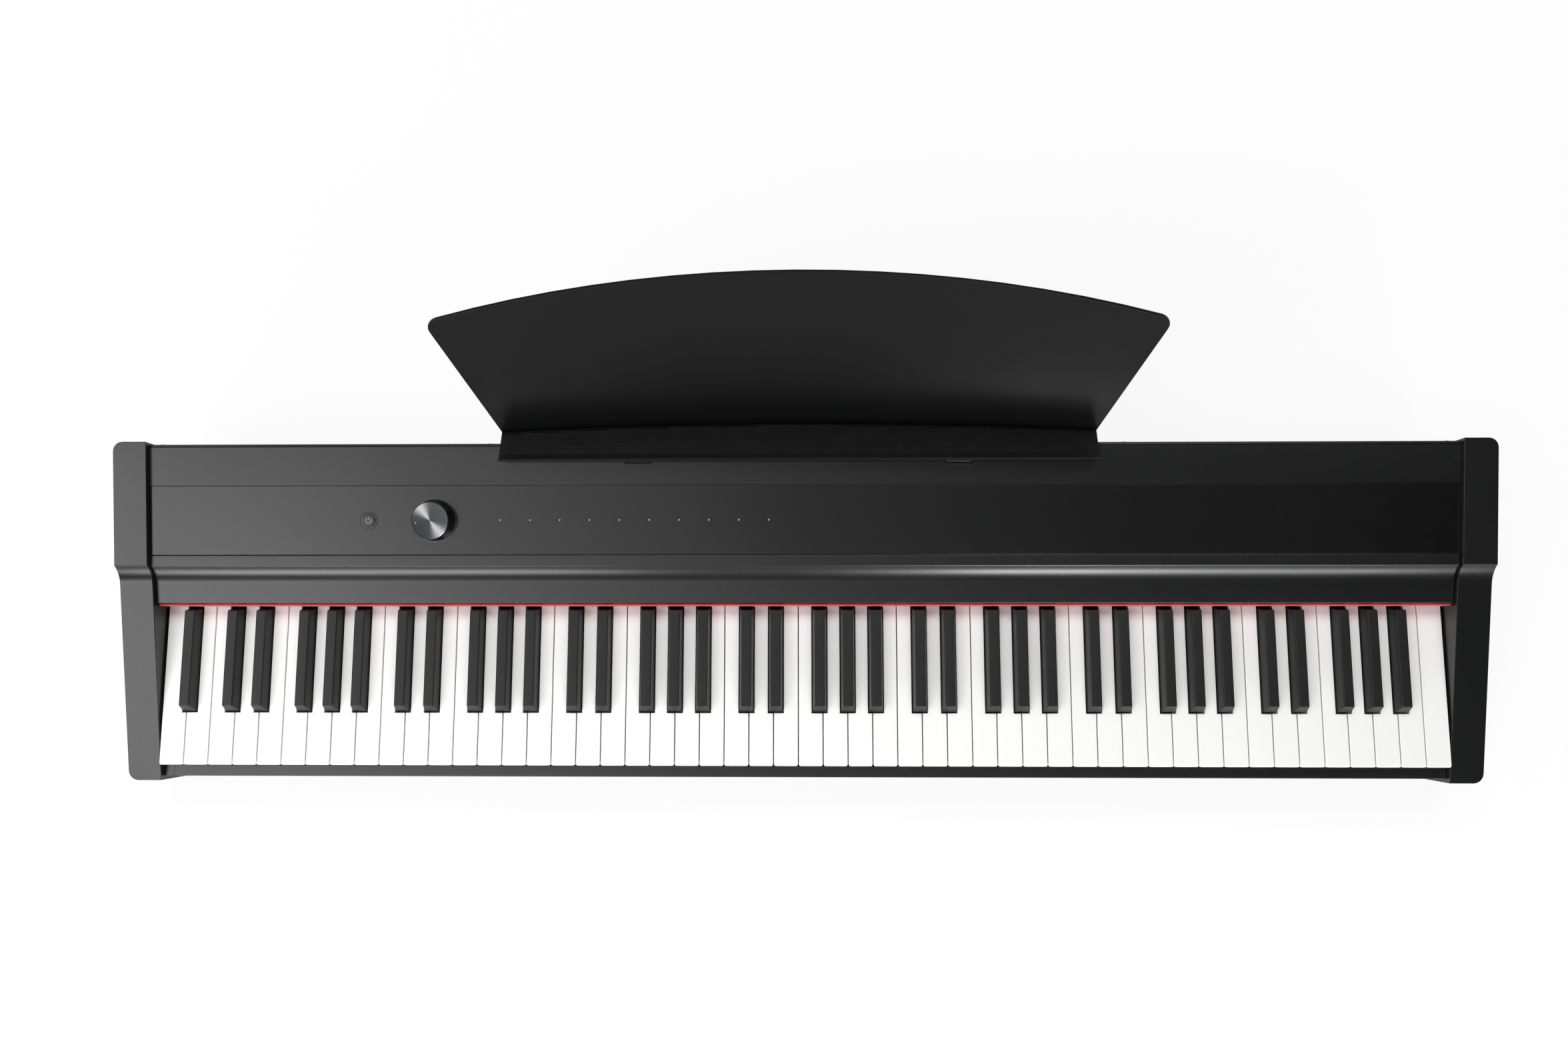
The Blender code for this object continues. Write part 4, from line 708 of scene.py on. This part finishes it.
def grown_mesh(name, tree, start, values):
    """The mesh that a tree makes from a start mesh, with its inputs set by identifier."""
    holder = bpy.data.objects.new(name + "_holder", start)
    bpy.context.scene.collection.objects.link(holder)
    modifier = holder.modifiers.new(name, "NODES")
    modifier.node_group = tree
    for item in tree.interface.items_tree:
        if item.in_out == "INPUT" and item.name in values:
            modifier[item.identifier] = values[item.name]
    bpy.context.view_layer.update()
    graph = bpy.context.evaluated_depsgraph_get()
    mesh = bpy.data.meshes.new_from_object(holder.evaluated_get(graph))
    holder.modifiers.remove(modifier)
    bpy.data.objects.remove(holder)
    return mesh


def ledge_rib_tree():
    """Round ribs side by side, each as long as the bowed back of the ledge leaves room for."""
    tree, entry, leave = new_shape_tree("ledge_ribs", (
        ("Count", "NodeSocketInt", 17), ("Pitch", "NodeSocketFloat", 0.00175),
        ("Start", "NodeSocketFloat", 0.008), ("Rib radius", "NodeSocketFloat", 0.0006),
        ("Half length", "NodeSocketFloat", 0.27), ("Straight depth", "NodeSocketFloat", 0.028),
        ("Bow", "NodeSocketFloat", 0.008), ("Material", "NodeSocketMaterial", None)))
    line = tree.nodes.new("GeometryNodeMeshLine")
    step = tree.nodes.new("ShaderNodeCombineXYZ")
    first = tree.nodes.new("ShaderNodeCombineXYZ")
    tree.links.new(entry.outputs["Pitch"], step.inputs["Y"])
    tree.links.new(entry.outputs["Start"], first.inputs["Y"])
    tree.links.new(entry.outputs["Count"], line.inputs["Count"])
    tree.links.new(first.outputs["Vector"], line.inputs["Start Location"])
    tree.links.new(step.outputs["Vector"], line.inputs["Offset"])
    rod = tree.nodes.new("GeometryNodeMeshCylinder")
    rod.inputs["Vertices"].default_value = 10
    rod.inputs["Depth"].default_value = 1.0
    tree.links.new(entry.outputs["Rib radius"], rod.inputs["Radius"])
    lie = tree.nodes.new("GeometryNodeTransform")
    lie.inputs["Rotation"].default_value = (0.0, pi / 2, 0.0)
    tree.links.new(rod.outputs["Mesh"], lie.inputs["Geometry"])
    where = tree.nodes.new("GeometryNodeInputPosition")
    split = tree.nodes.new("ShaderNodeSeparateXYZ")
    tree.links.new(where.outputs["Position"], split.inputs["Vector"])
    past = math_node(tree, "MAXIMUM", math_node(
        tree, "SUBTRACT", split.outputs["Y"], entry.outputs["Straight depth"]), 0.0)
    share = math_node(tree, "DIVIDE", past, entry.outputs["Bow"])
    room = math_node(tree, "SQRT", math_node(tree, "MAXIMUM", math_node(
        tree, "SUBTRACT", 1.0, share), 0.02))
    length = math_node(tree, "MULTIPLY", math_node(
        tree, "MULTIPLY", room, entry.outputs["Half length"]), 2.0)
    scale = tree.nodes.new("ShaderNodeCombineXYZ")
    scale.inputs["Y"].default_value = 1.0
    scale.inputs["Z"].default_value = 1.0
    tree.links.new(length, scale.inputs["X"])
    copy = tree.nodes.new("GeometryNodeInstanceOnPoints")
    tree.links.new(line.outputs["Mesh"], copy.inputs["Points"])
    tree.links.new(lie.outputs["Geometry"], copy.inputs["Instance"])
    tree.links.new(scale.outputs["Vector"], copy.inputs["Scale"])
    realised(tree, copy.outputs["Instances"], entry.outputs["Material"], leave)
    return tree


def copies_tree():
    """Copies of one object on the start mesh's points, all turned alike."""
    tree, entry, leave = new_shape_tree("copies_on_points", (
        ("Copy of", "NodeSocketObject", None), ("Turn", "NodeSocketVector", (0.0, 0.0, 0.0)),
        ("Material", "NodeSocketMaterial", None)))
    source = tree.nodes.new("GeometryNodeObjectInfo")
    tree.links.new(entry.outputs["Copy of"], source.inputs["Object"])
    copy = tree.nodes.new("GeometryNodeInstanceOnPoints")
    turn = tree.nodes.new("FunctionNodeEulerToRotation")
    tree.links.new(entry.outputs["Turn"], turn.inputs["Euler"])
    tree.links.new(entry.outputs["Geometry"], copy.inputs["Points"])
    tree.links.new(source.outputs["Geometry"], copy.inputs["Instance"])
    tree.links.new(turn.outputs["Rotation"], copy.inputs["Rotation"])
    realised(tree, copy.outputs["Instances"], entry.outputs["Material"], leave)
    return tree


def points_mesh(name, points):
    mesh = bpy.data.meshes.new(name)
    mesh.from_pydata([tuple(point) for point in points], [], [])
    return mesh


def copies(name, template, points, turn, finish_name):
    """One mesh of copies of a template mesh on points."""
    model = bpy.data.objects.new(name + "_model", template)
    bpy.context.scene.collection.objects.link(model)
    tree = bpy.data.node_groups.get("copies_on_points") or copies_tree()
    mesh = grown_mesh(name, tree, points_mesh(name + "_points", points), {
        "Copy of": model, "Turn": turn, "Material": finish(finish_name)})
    bpy.data.objects.remove(model)
    smooth_by_angle(mesh)
    return mesh


def pan_head():
    """A pan head with a cross recess, standing on Z = 0."""
    radius = sizes().screw_radius
    height = sizes().screw_height
    head = bpy.data.objects.new("pan_head", turned_mesh("pan_head", (
        (0.0, 0.0), (radius * 0.96, 0.0), (radius, height * 0.25), (radius * 0.93, height * 0.62),
        (radius * 0.72, height * 0.88), (radius * 0.4, height), (0.0, height)), 32))
    shape = bmesh.new()
    arm = radius * 0.62
    half = radius * 0.13
    outline = [(-half, -arm), (half, -arm), (half, -half), (arm, -half), (arm, half), (half, half),
               (half, arm), (-half, arm), (-half, half), (-arm, half), (-arm, -half), (-half, -half)]
    low = [shape.verts.new((x * 0.6, y * 0.6, height * 0.4)) for x, y in outline]
    high = [shape.verts.new((x, y, height * 1.4)) for x, y in outline]
    shape.faces.new(low[::-1])
    shape.faces.new(high)
    for i in range(len(outline)):
        j = (i + 1) % len(outline)
        shape.faces.new((low[i], low[j], high[j], high[i]))
    tool = bpy.data.objects.new("cross_recess", mesh_from(shape, "cross_recess"))
    for obj in (head, tool):
        bpy.context.scene.collection.objects.link(obj)
    cut = head.modifiers.new("recess", "BOOLEAN")
    cut.object = tool
    cut.solver = "EXACT"
    bpy.context.view_layer.update()
    graph = bpy.context.evaluated_depsgraph_get()
    mesh = bpy.data.meshes.new_from_object(head.evaluated_get(graph))
    bpy.data.objects.remove(head)
    bpy.data.objects.remove(tool)
    return mesh


# Operators

class PIANO_OT_keys(bpy.types.Operator):
    """Rounds and finishes the white and black keys."""

    bl_idname = "piano.keys"
    bl_label = "Keys"

    def execute(self, context):
        for node, slot in SLOT_OF.items():
            if slot == "white_key_plastic":
                rounded(node, sizes().white_round, "white key gloss",
                        within=lambda p: p.y < NOSE_LIP and p.z > KEY_TOP - 0.003)
            elif slot == "black_key_plastic":
                rounded(node, sizes().black_round, "black key matt", 24.0, BLACK_WELD,
                        within=lambda p: p.y < NOSE_LIP and p.z > KEY_TOP + 0.003)
        return {"FINISHED"}


class PIANO_OT_action(bpy.types.Operator):
    """Finishes the frame, rod, springs, felt and contacts under the keys."""

    bl_idname = "piano.action"
    bl_label = "Key action"

    def execute(self, context):
        paint("zinc sheet", "key_frame")
        paint("spring steel", "pivot_rod", "key_return_springs")
        paint("dark felt", "key_stop_felt")
        paint("circuit board", "contact_board", "control_board", "main_board")
        paint("rubber", "contact_rubber")
        return {"FINISHED"}


class PIANO_OT_case(bpy.types.Operator):
    """Rounds and finishes the end blocks, nose, cover, keyslip, back, board and brackets."""

    bl_idname = "piano.case"
    bl_label = "Case"

    def execute(self, context):
        edge = sizes().case_round
        for node in ("left_end_block", "right_end_block", "fascia", "keyslip"):
            rounded(node, edge, "case satin", 32.0)
        rounded("top_cover", edge / 2, "case satin", 60.0)
        rounded("rear_panel", edge / 4, "case satin", 60.0)
        paint("board fibre", "bottom_board")
        paint("zinc sheet", "left_bracket", "right_bracket")
        return {"FINISHED"}


class PIANO_OT_panel(bpy.types.Operator):
    """The smooth control panel and its touch lights."""

    bl_idname = "piano.panel"
    bl_label = "Control panel"

    def execute(self, context):
        rounded("control_panel", sizes().panel_round, "panel smooth", 60.0)
        paint("light guide", "touch_light_guide")
        return {"FINISHED"}


class PIANO_OT_felt(bpy.types.Operator):
    """The red felt strip over the keys."""

    bl_idname = "piano.felt"
    bl_label = "Felt strip"

    def execute(self, context):
        rounded("nameboard_felt", 0.0004, "red felt")
        return {"FINISHED"}


class PIANO_OT_power_button(bpy.types.Operator):
    """The power button, its ring and the symbol on its face."""

    bl_idname = "piano.power_button"
    bl_label = "Power button"

    def execute(self, context):
        rounded("power_button", 0.0003, "button satin", 50.0)
        rounded("power_button_ring", 0.0002, "button ring", 50.0)
        centre = (POWER_LOW.x + POWER_HIGH.x) / 2
        radius = sizes().symbol_radius
        gap = radians(38.0)
        turns = [pi / 2 + gap + (tau - 2 * gap) * i / 28 for i in range(29)]
        shape = bmesh.new()
        ribbon(shape, [(radius * cos(a), radius * sin(a)) for a in turns], radius / 5, 0.0, CLEAR)
        ribbon(shape, [(0.0, radius * 0.15), (0.0, radius * 1.2)], radius / 5, 0.0, CLEAR)
        mesh = mesh_from(shape, "power_symbol", on_axis(on_panel(centre, POWER_PROUD), PANEL_NORMAL))
        settle("power_symbol", mesh, "power_button", "printed mark")
        return {"FINISHED"}


class PIANO_OT_volume_knob(bpy.types.Operator):
    """The volume knob: turned side, spun cap, its mark, and the ring on the panel."""

    bl_idname = "piano.volume_knob"
    bl_label = "Volume knob"

    def execute(self, context):
        x = (KNOB_LOW.x + KNOB_HIGH.x) / 2
        place = on_axis(on_panel(x), PANEL_NORMAL)
        top = KNOB_TOP - KNOB_CAP
        side = turned_mesh("knob_side", (
            (0.0, KNOB_RISE), (KNOB_BASE_RADIUS - 0.0006, KNOB_RISE), (KNOB_BASE_RADIUS, KNOB_RISE + 0.0006),
            (KNOB_BASE_RADIUS, KNOB_RISE + 0.0016), (KNOB_BASE_RADIUS - 0.0005, KNOB_RISE + 0.0022),
            (KNOB_TOP_RADIUS, top - 0.0004), (KNOB_TOP_RADIUS - 0.0003, top), (0.0, top)), 96, place)
        settle("knob_side", side, "volume_knob", "knob side", ("volume_knob",))
        rim = KNOB_TOP_RADIUS - 0.0006
        cap = turned_mesh("knob_spun_cap", (
            (0.0, top + CLEAR), (rim, top + CLEAR), (rim, KNOB_TOP - 0.0003), (rim - 0.0004, KNOB_TOP),
            (rim - 0.0012, KNOB_TOP - 0.0001), (0.0, KNOB_TOP - 0.0001)), 96, place)
        settle("knob_spun_cap", cap, "knob_cap", "spun cap", ("knob_cap",))
        mark = turned_mesh("knob_mark", (
            (0.0, KNOB_TOP - 0.0001), (0.0007, KNOB_TOP - 0.0001), (0.0007, KNOB_TOP), (0.0, KNOB_TOP)), 24)
        mark.transform(place @ Matrix.Translation((-0.0132, -0.0022, 0.0)))
        settle("knob_mark", mark, "knob_cap", "printed mark")
        collar = ring_mesh("knob_collar", KNOB_BASE_RADIUS + 0.0002, KNOB_BASE_RADIUS + 0.0007,
                           CLEAR, 0.0004, place, 96)
        settle("knob_collar", collar, "control_panel", "button ring")
        return {"FINISHED"}


class PIANO_OT_music_rest(bpy.types.Operator):
    """The music rest: bowed back, ledge with its ribs, and pegs."""

    bl_idname = "piano.music_rest"
    bl_label = "Music rest"

    def execute(self, context):
        rounded("music_rest_panel", 0.0008, "rest satin", 50.0, segments=3)
        rounded("music_rest_ledge", 0.0004, "rest satin", 40.0)
        rounded("music_rest_pegs", 0.0003, "case satin", 60.0)
        rest_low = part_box("music_rest_panel")[0]
        size = sizes()
        depth = (rest_low.y - LEDGE_LOW.y - size.rib_pitch) / cos(LEDGE_SLOPE)
        mesh = grown_mesh("ledge_ribs", ledge_rib_tree(), points_mesh("ledge_rib_start", []), {
            "Count": size.rib_count, "Pitch": size.rib_pitch, "Start": LEDGE_LIP + 0.0065,
            "Rib radius": size.rib_height, "Half length": LEDGE_HIGH.x - 0.0012,
            "Straight depth": depth, "Bow": REST_BOW / cos(LEDGE_SLOPE),
            "Material": finish("rest satin")})
        along = Vector((0.0, cos(LEDGE_SLOPE), -sin(LEDGE_SLOPE)))
        normal = Vector((0.0, sin(LEDGE_SLOPE), cos(LEDGE_SLOPE)))
        turn = Matrix((Vector((1.0, 0.0, 0.0)), along, normal)).transposed().to_4x4()
        lip_top = LEDGE_HIGH.z - LEDGE_LIP_RISE
        mesh.transform(Matrix.Translation((0.0, LEDGE_LOW.y, lip_top)) @ turn)
        smooth_by_angle(mesh, 50.0)
        settle("ledge_ribs", mesh, "music_rest_ledge", "rest satin")
        return {"FINISHED"}


class PIANO_OT_sockets(bpy.types.Operator):
    """The sockets on the back: housings, bright collars, the port's tongue and the inlet's pin."""

    bl_idname = "piano.sockets"
    bl_label = "Sockets"

    def execute(self, context):
        paint("socket plastic", "jack_board")
        face = JACKS_HIGH.y
        for number, x in enumerate(AUDIO_JACK_X, 1):
            place = on_axis((x, face, SOCKET_Z), (0.0, 1.0, 0.0))
            collar = ring_mesh("jack_collar", 0.0034, 0.0052, CLEAR, 0.0005, place, 32)
            settle(f"jack_collar_{number}", collar, "jack_board", "bright collar")
        deep = JACKS_HIGH.y - 0.012
        place = on_axis((POWER_INLET_X, deep - 0.004, SOCKET_Z), (0.0, 1.0, 0.0))
        pin = turned_mesh("inlet_pin", (
            (0.0, 0.0), (0.0009, 0.0), (0.0009, 0.011), (0.0005, 0.0118), (0.0, 0.0118)), 20, place)
        settle("inlet_pin", pin, "jack_board", "bright collar")
        shape = bmesh.new()
        box_into(shape, (DATA_PORT_X - 0.0028, deep - 0.004, SOCKET_Z - 0.0015),
                 (DATA_PORT_X + 0.0028, face - 0.0015, SOCKET_Z + 0.0015))
        settle("port_tongue", mesh_from(shape, "port_tongue"), "jack_board", "socket plastic")
        return {"FINISHED"}


class PIANO_OT_screws(bpy.types.Operator):
    """Pan head screws on the back and on the underside."""

    bl_idname = "piano.screws"
    bl_label = "Screws"

    def execute(self, context):
        low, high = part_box("rear_screw_1")
        z = (low.z + high.z) / 2
        rear = [(x, REAR_HIGH.y + CLEAR, z) for x in SCREW_X]
        mesh = copies("rear_screw_heads", pan_head(), rear, (-pi / 2, 0.0, 0.0), "black screw")
        settle("rear_screw_heads", mesh, "rear_screw_1", "black screw",
               tuple(f"rear_screw_{n}" for n in range(1, 5)))
        front_y = BOARD_LOW.y + 0.012
        back_y = BOARD_HIGH.y - 0.008
        under = [(0.145 * i, y, BOARD_LOW.z - CLEAR) for i in range(-3, 4) for y in (front_y, back_y)]
        under += [(0.30 * i, FRAME_SCREW_Y, BOARD_LOW.z - CLEAR) for i in (-1, 0, 1)]
        mesh = copies("underside_screw_heads", pan_head(), under, (pi, 0.0, 0.0), "black screw")
        settle("underside_screw_heads", mesh, "bottom_board", "black screw")
        return {"FINISHED"}


class PIANO_OT_speakers(bpy.types.Operator):
    """Finishes the two speakers and their cones."""

    bl_idname = "piano.speakers"
    bl_label = "Speakers"

    def execute(self, context):
        paint("zinc sheet", "left_speaker_basket", "right_speaker_basket")
        paint("cone paper", "left_speaker_cone", "right_speaker_cone")
        return {"FINISHED"}


class PIANO_OT_feet(bpy.types.Operator):
    """Rounded rubber feet."""

    bl_idname = "piano.feet"
    bl_label = "Feet"

    def execute(self, context):
        for node in ("front_left_foot", "front_right_foot", "rear_left_foot", "rear_right_foot"):
            rounded(node, 0.0005, "rubber", 50.0)
        return {"FINISHED"}


class PIANO_OT_stage(bpy.types.Operator):
    """Floor, soft studio light, sky and the camera at the photograph's angle."""

    bl_idname = "piano.stage"
    bl_label = "Stage"

    def execute(self, context):
        scene = context.scene
        scene.view_settings.view_transform = "Standard"
        self.add_floor()
        self.add_overhead()
        self.add_world(scene)
        for name, place, target, width, height, power in LAMPS:
            data = bpy.data.lights.new(name, "AREA")
            data.shape = "RECTANGLE"
            data.size = width
            data.size_y = height
            data.energy = power
            lamp = bpy.data.objects.new(name, data)
            lamp.location = place
            aim = Vector(target) - Vector(place)
            lamp.rotation_euler = aim.to_track_quat("-Z", "Y").to_euler()
            scene.collection.objects.link(lamp)
        camera_data = bpy.data.cameras.new("photo_camera")
        camera_data.sensor_width = SENSOR
        camera_data.lens = FOCAL_PIXELS / PHOTO_WIDTH * SENSOR
        camera = bpy.data.objects.new("photo_camera", camera_data)
        camera.location = CAMERA_PLACE
        camera.rotation_euler = CAMERA_TURN
        scene.collection.objects.link(camera)
        scene.camera = camera
        return {"FINISHED"}

    def add_floor(self):
        """A wide pale floor; what sees it straight or in a reflection gets part of it as plain white."""
        mesh = bpy.data.meshes.new("floor")
        half = FLOOR_HALF
        mesh.from_pydata([(-half, -half, FLOOR_Z), (half, -half, FLOOR_Z), (half, half, FLOOR_Z),
                          (-half, half, FLOOR_Z)], [], [(0, 1, 2, 3)])
        floor = bpy.data.objects.new("floor", mesh)
        bpy.context.scene.collection.objects.link(floor)
        material, tree, shader = new_material("floor", colours().floor, 0.9)
        white = tree.nodes.new("ShaderNodeEmission")
        mix = tree.nodes.new("ShaderNodeMixShader")
        path = tree.nodes.new("ShaderNodeLightPath")
        seen = math_node(tree, "MAXIMUM", math_node(
            tree, "MAXIMUM", path.outputs["Is Camera Ray"], path.outputs["Is Glossy Ray"]),
            path.outputs["Is Transmission Ray"])
        tree.links.new(math_node(tree, "MULTIPLY", seen, FLOOR_WHITE), mix.inputs["Fac"])
        tree.links.new(shader.outputs["BSDF"], mix.inputs[1])
        tree.links.new(white.outputs["Emission"], mix.inputs[2])
        tree.links.new(mix.outputs["Shader"], tree.nodes["Material Output"].inputs["Surface"])
        mesh.materials.append(material)

    def add_overhead(self):
        """A glowing panel overhead that fades from the bass end to the treble end."""
        low_x, high_x, low_y, high_y = OVERHEAD_SPAN
        mesh = bpy.data.meshes.new("overhead_panel")
        corners = [(low_x, low_y), (low_x, high_y), (high_x, high_y), (high_x, low_y)]
        mesh.from_pydata([(x, y, OVERHEAD_Z) for x, y in corners], [], [(0, 1, 2, 3)])
        panel = bpy.data.objects.new("overhead_panel", mesh)
        bpy.context.scene.collection.objects.link(panel)
        panel.visible_camera = False
        material = bpy.data.materials.new("overhead_glow")
        material.use_nodes = True
        tree = material.node_tree
        tree.nodes.clear()
        split = tree.nodes.new("ShaderNodeSeparateXYZ")
        tree.links.new(tree.nodes.new("ShaderNodeTexCoord").outputs["Object"], split.inputs["Vector"])
        across = tree.nodes.new("ShaderNodeMapRange")
        across.inputs["From Min"].default_value = low_x
        across.inputs["From Max"].default_value = high_x
        tree.links.new(split.outputs["X"], across.inputs["Value"])
        ramp = tree.nodes.new("ShaderNodeValToRGB")
        ramp.color_ramp.elements[0].position = 0.0
        ramp.color_ramp.elements[0].color = (OVERHEAD_GLOW[0][1],) * 3 + (1.0,)
        ramp.color_ramp.elements[1].position = 1.0
        ramp.color_ramp.elements[1].color = (OVERHEAD_GLOW[-1][1],) * 3 + (1.0,)
        for x, glow in OVERHEAD_GLOW[1:-1]:
            stop = ramp.color_ramp.elements.new((x - low_x) / (high_x - low_x))
            stop.color = (glow, glow, glow, 1.0)
        tree.links.new(across.outputs[0], ramp.inputs["Fac"])
        along = tree.nodes.new("ShaderNodeMapRange")
        along.inputs["From Min"].default_value = high_y
        along.inputs["From Max"].default_value = low_y
        along.inputs["To Min"].default_value = OVERHEAD_BACK_LEVEL
        along.inputs["To Max"].default_value = OVERHEAD_FRONT_LEVEL
        tree.links.new(split.outputs["Y"], along.inputs["Value"])
        glow = tree.nodes.new("ShaderNodeEmission")
        tree.links.new(ramp.outputs["Color"], glow.inputs["Color"])
        tree.links.new(along.outputs[0], glow.inputs["Strength"])
        leave = tree.nodes.new("ShaderNodeOutputMaterial")
        tree.links.new(glow.outputs["Emission"], leave.inputs["Surface"])
        mesh.materials.append(material)

    def add_world(self, scene):
        """A sky that is pale at the horizon and dim overhead."""
        world = bpy.data.worlds.new("studio")
        scene.world = world
        world.use_nodes = True
        tree = world.node_tree
        split = tree.nodes.new("ShaderNodeSeparateXYZ")
        tree.links.new(tree.nodes.new("ShaderNodeTexCoord").outputs["Generated"], split.inputs["Vector"])
        fade = tree.nodes.new("ShaderNodeMapRange")
        fade.inputs["From Min"].default_value = 0.05
        fade.inputs["From Max"].default_value = 0.75
        fade.inputs["To Min"].default_value = SKY_HORIZON
        fade.inputs["To Max"].default_value = SKY_OVERHEAD
        tree.links.new(split.outputs["Z"], fade.inputs["Value"])
        tree.links.new(fade.outputs[0], tree.nodes["Background"].inputs["Strength"])
        tree.nodes["Background"].inputs["Color"].default_value = (1.0, 1.0, 1.0, 1.0)


STEPS = (PIANO_OT_keys, PIANO_OT_action, PIANO_OT_case, PIANO_OT_panel, PIANO_OT_felt,
         PIANO_OT_power_button, PIANO_OT_volume_knob, PIANO_OT_music_rest, PIANO_OT_sockets,
         PIANO_OT_screws, PIANO_OT_speakers, PIANO_OT_feet, PIANO_OT_stage)


class PIANO_PT_panel(bpy.types.Panel):
    """Lists the steps that dress the piano."""

    bl_idname = "PIANO_PT_panel"
    bl_label = "Digital piano"
    bl_space_type = "VIEW_3D"
    bl_region_type = "UI"
    bl_category = "Piano"

    def draw(self, context):
        for step in STEPS:
            self.layout.operator(step.bl_idname)
        for settings in (context.scene.piano_sizes, context.scene.piano_colours):
            for key in settings.bl_rna.properties.keys():
                if key not in ("rna_type", "name"):
                    self.layout.prop(settings, key)


CLASSES = (PianoSizes, PianoColours) + STEPS + (PIANO_PT_panel,)


def register():
    for item in CLASSES:
        bpy.utils.register_class(item)
    bpy.types.Scene.piano_sizes = PointerProperty(type=PianoSizes)
    bpy.types.Scene.piano_colours = PointerProperty(type=PianoColours)


def unregister():
    del bpy.types.Scene.piano_colours
    del bpy.types.Scene.piano_sizes
    for item in reversed(CLASSES):
        bpy.utils.unregister_class(item)


def main():
    register()
    for step in STEPS:
        family, call = step.bl_idname.split(".")
        getattr(getattr(bpy.ops, family), call)()


if __name__ == "__main__":
    main()
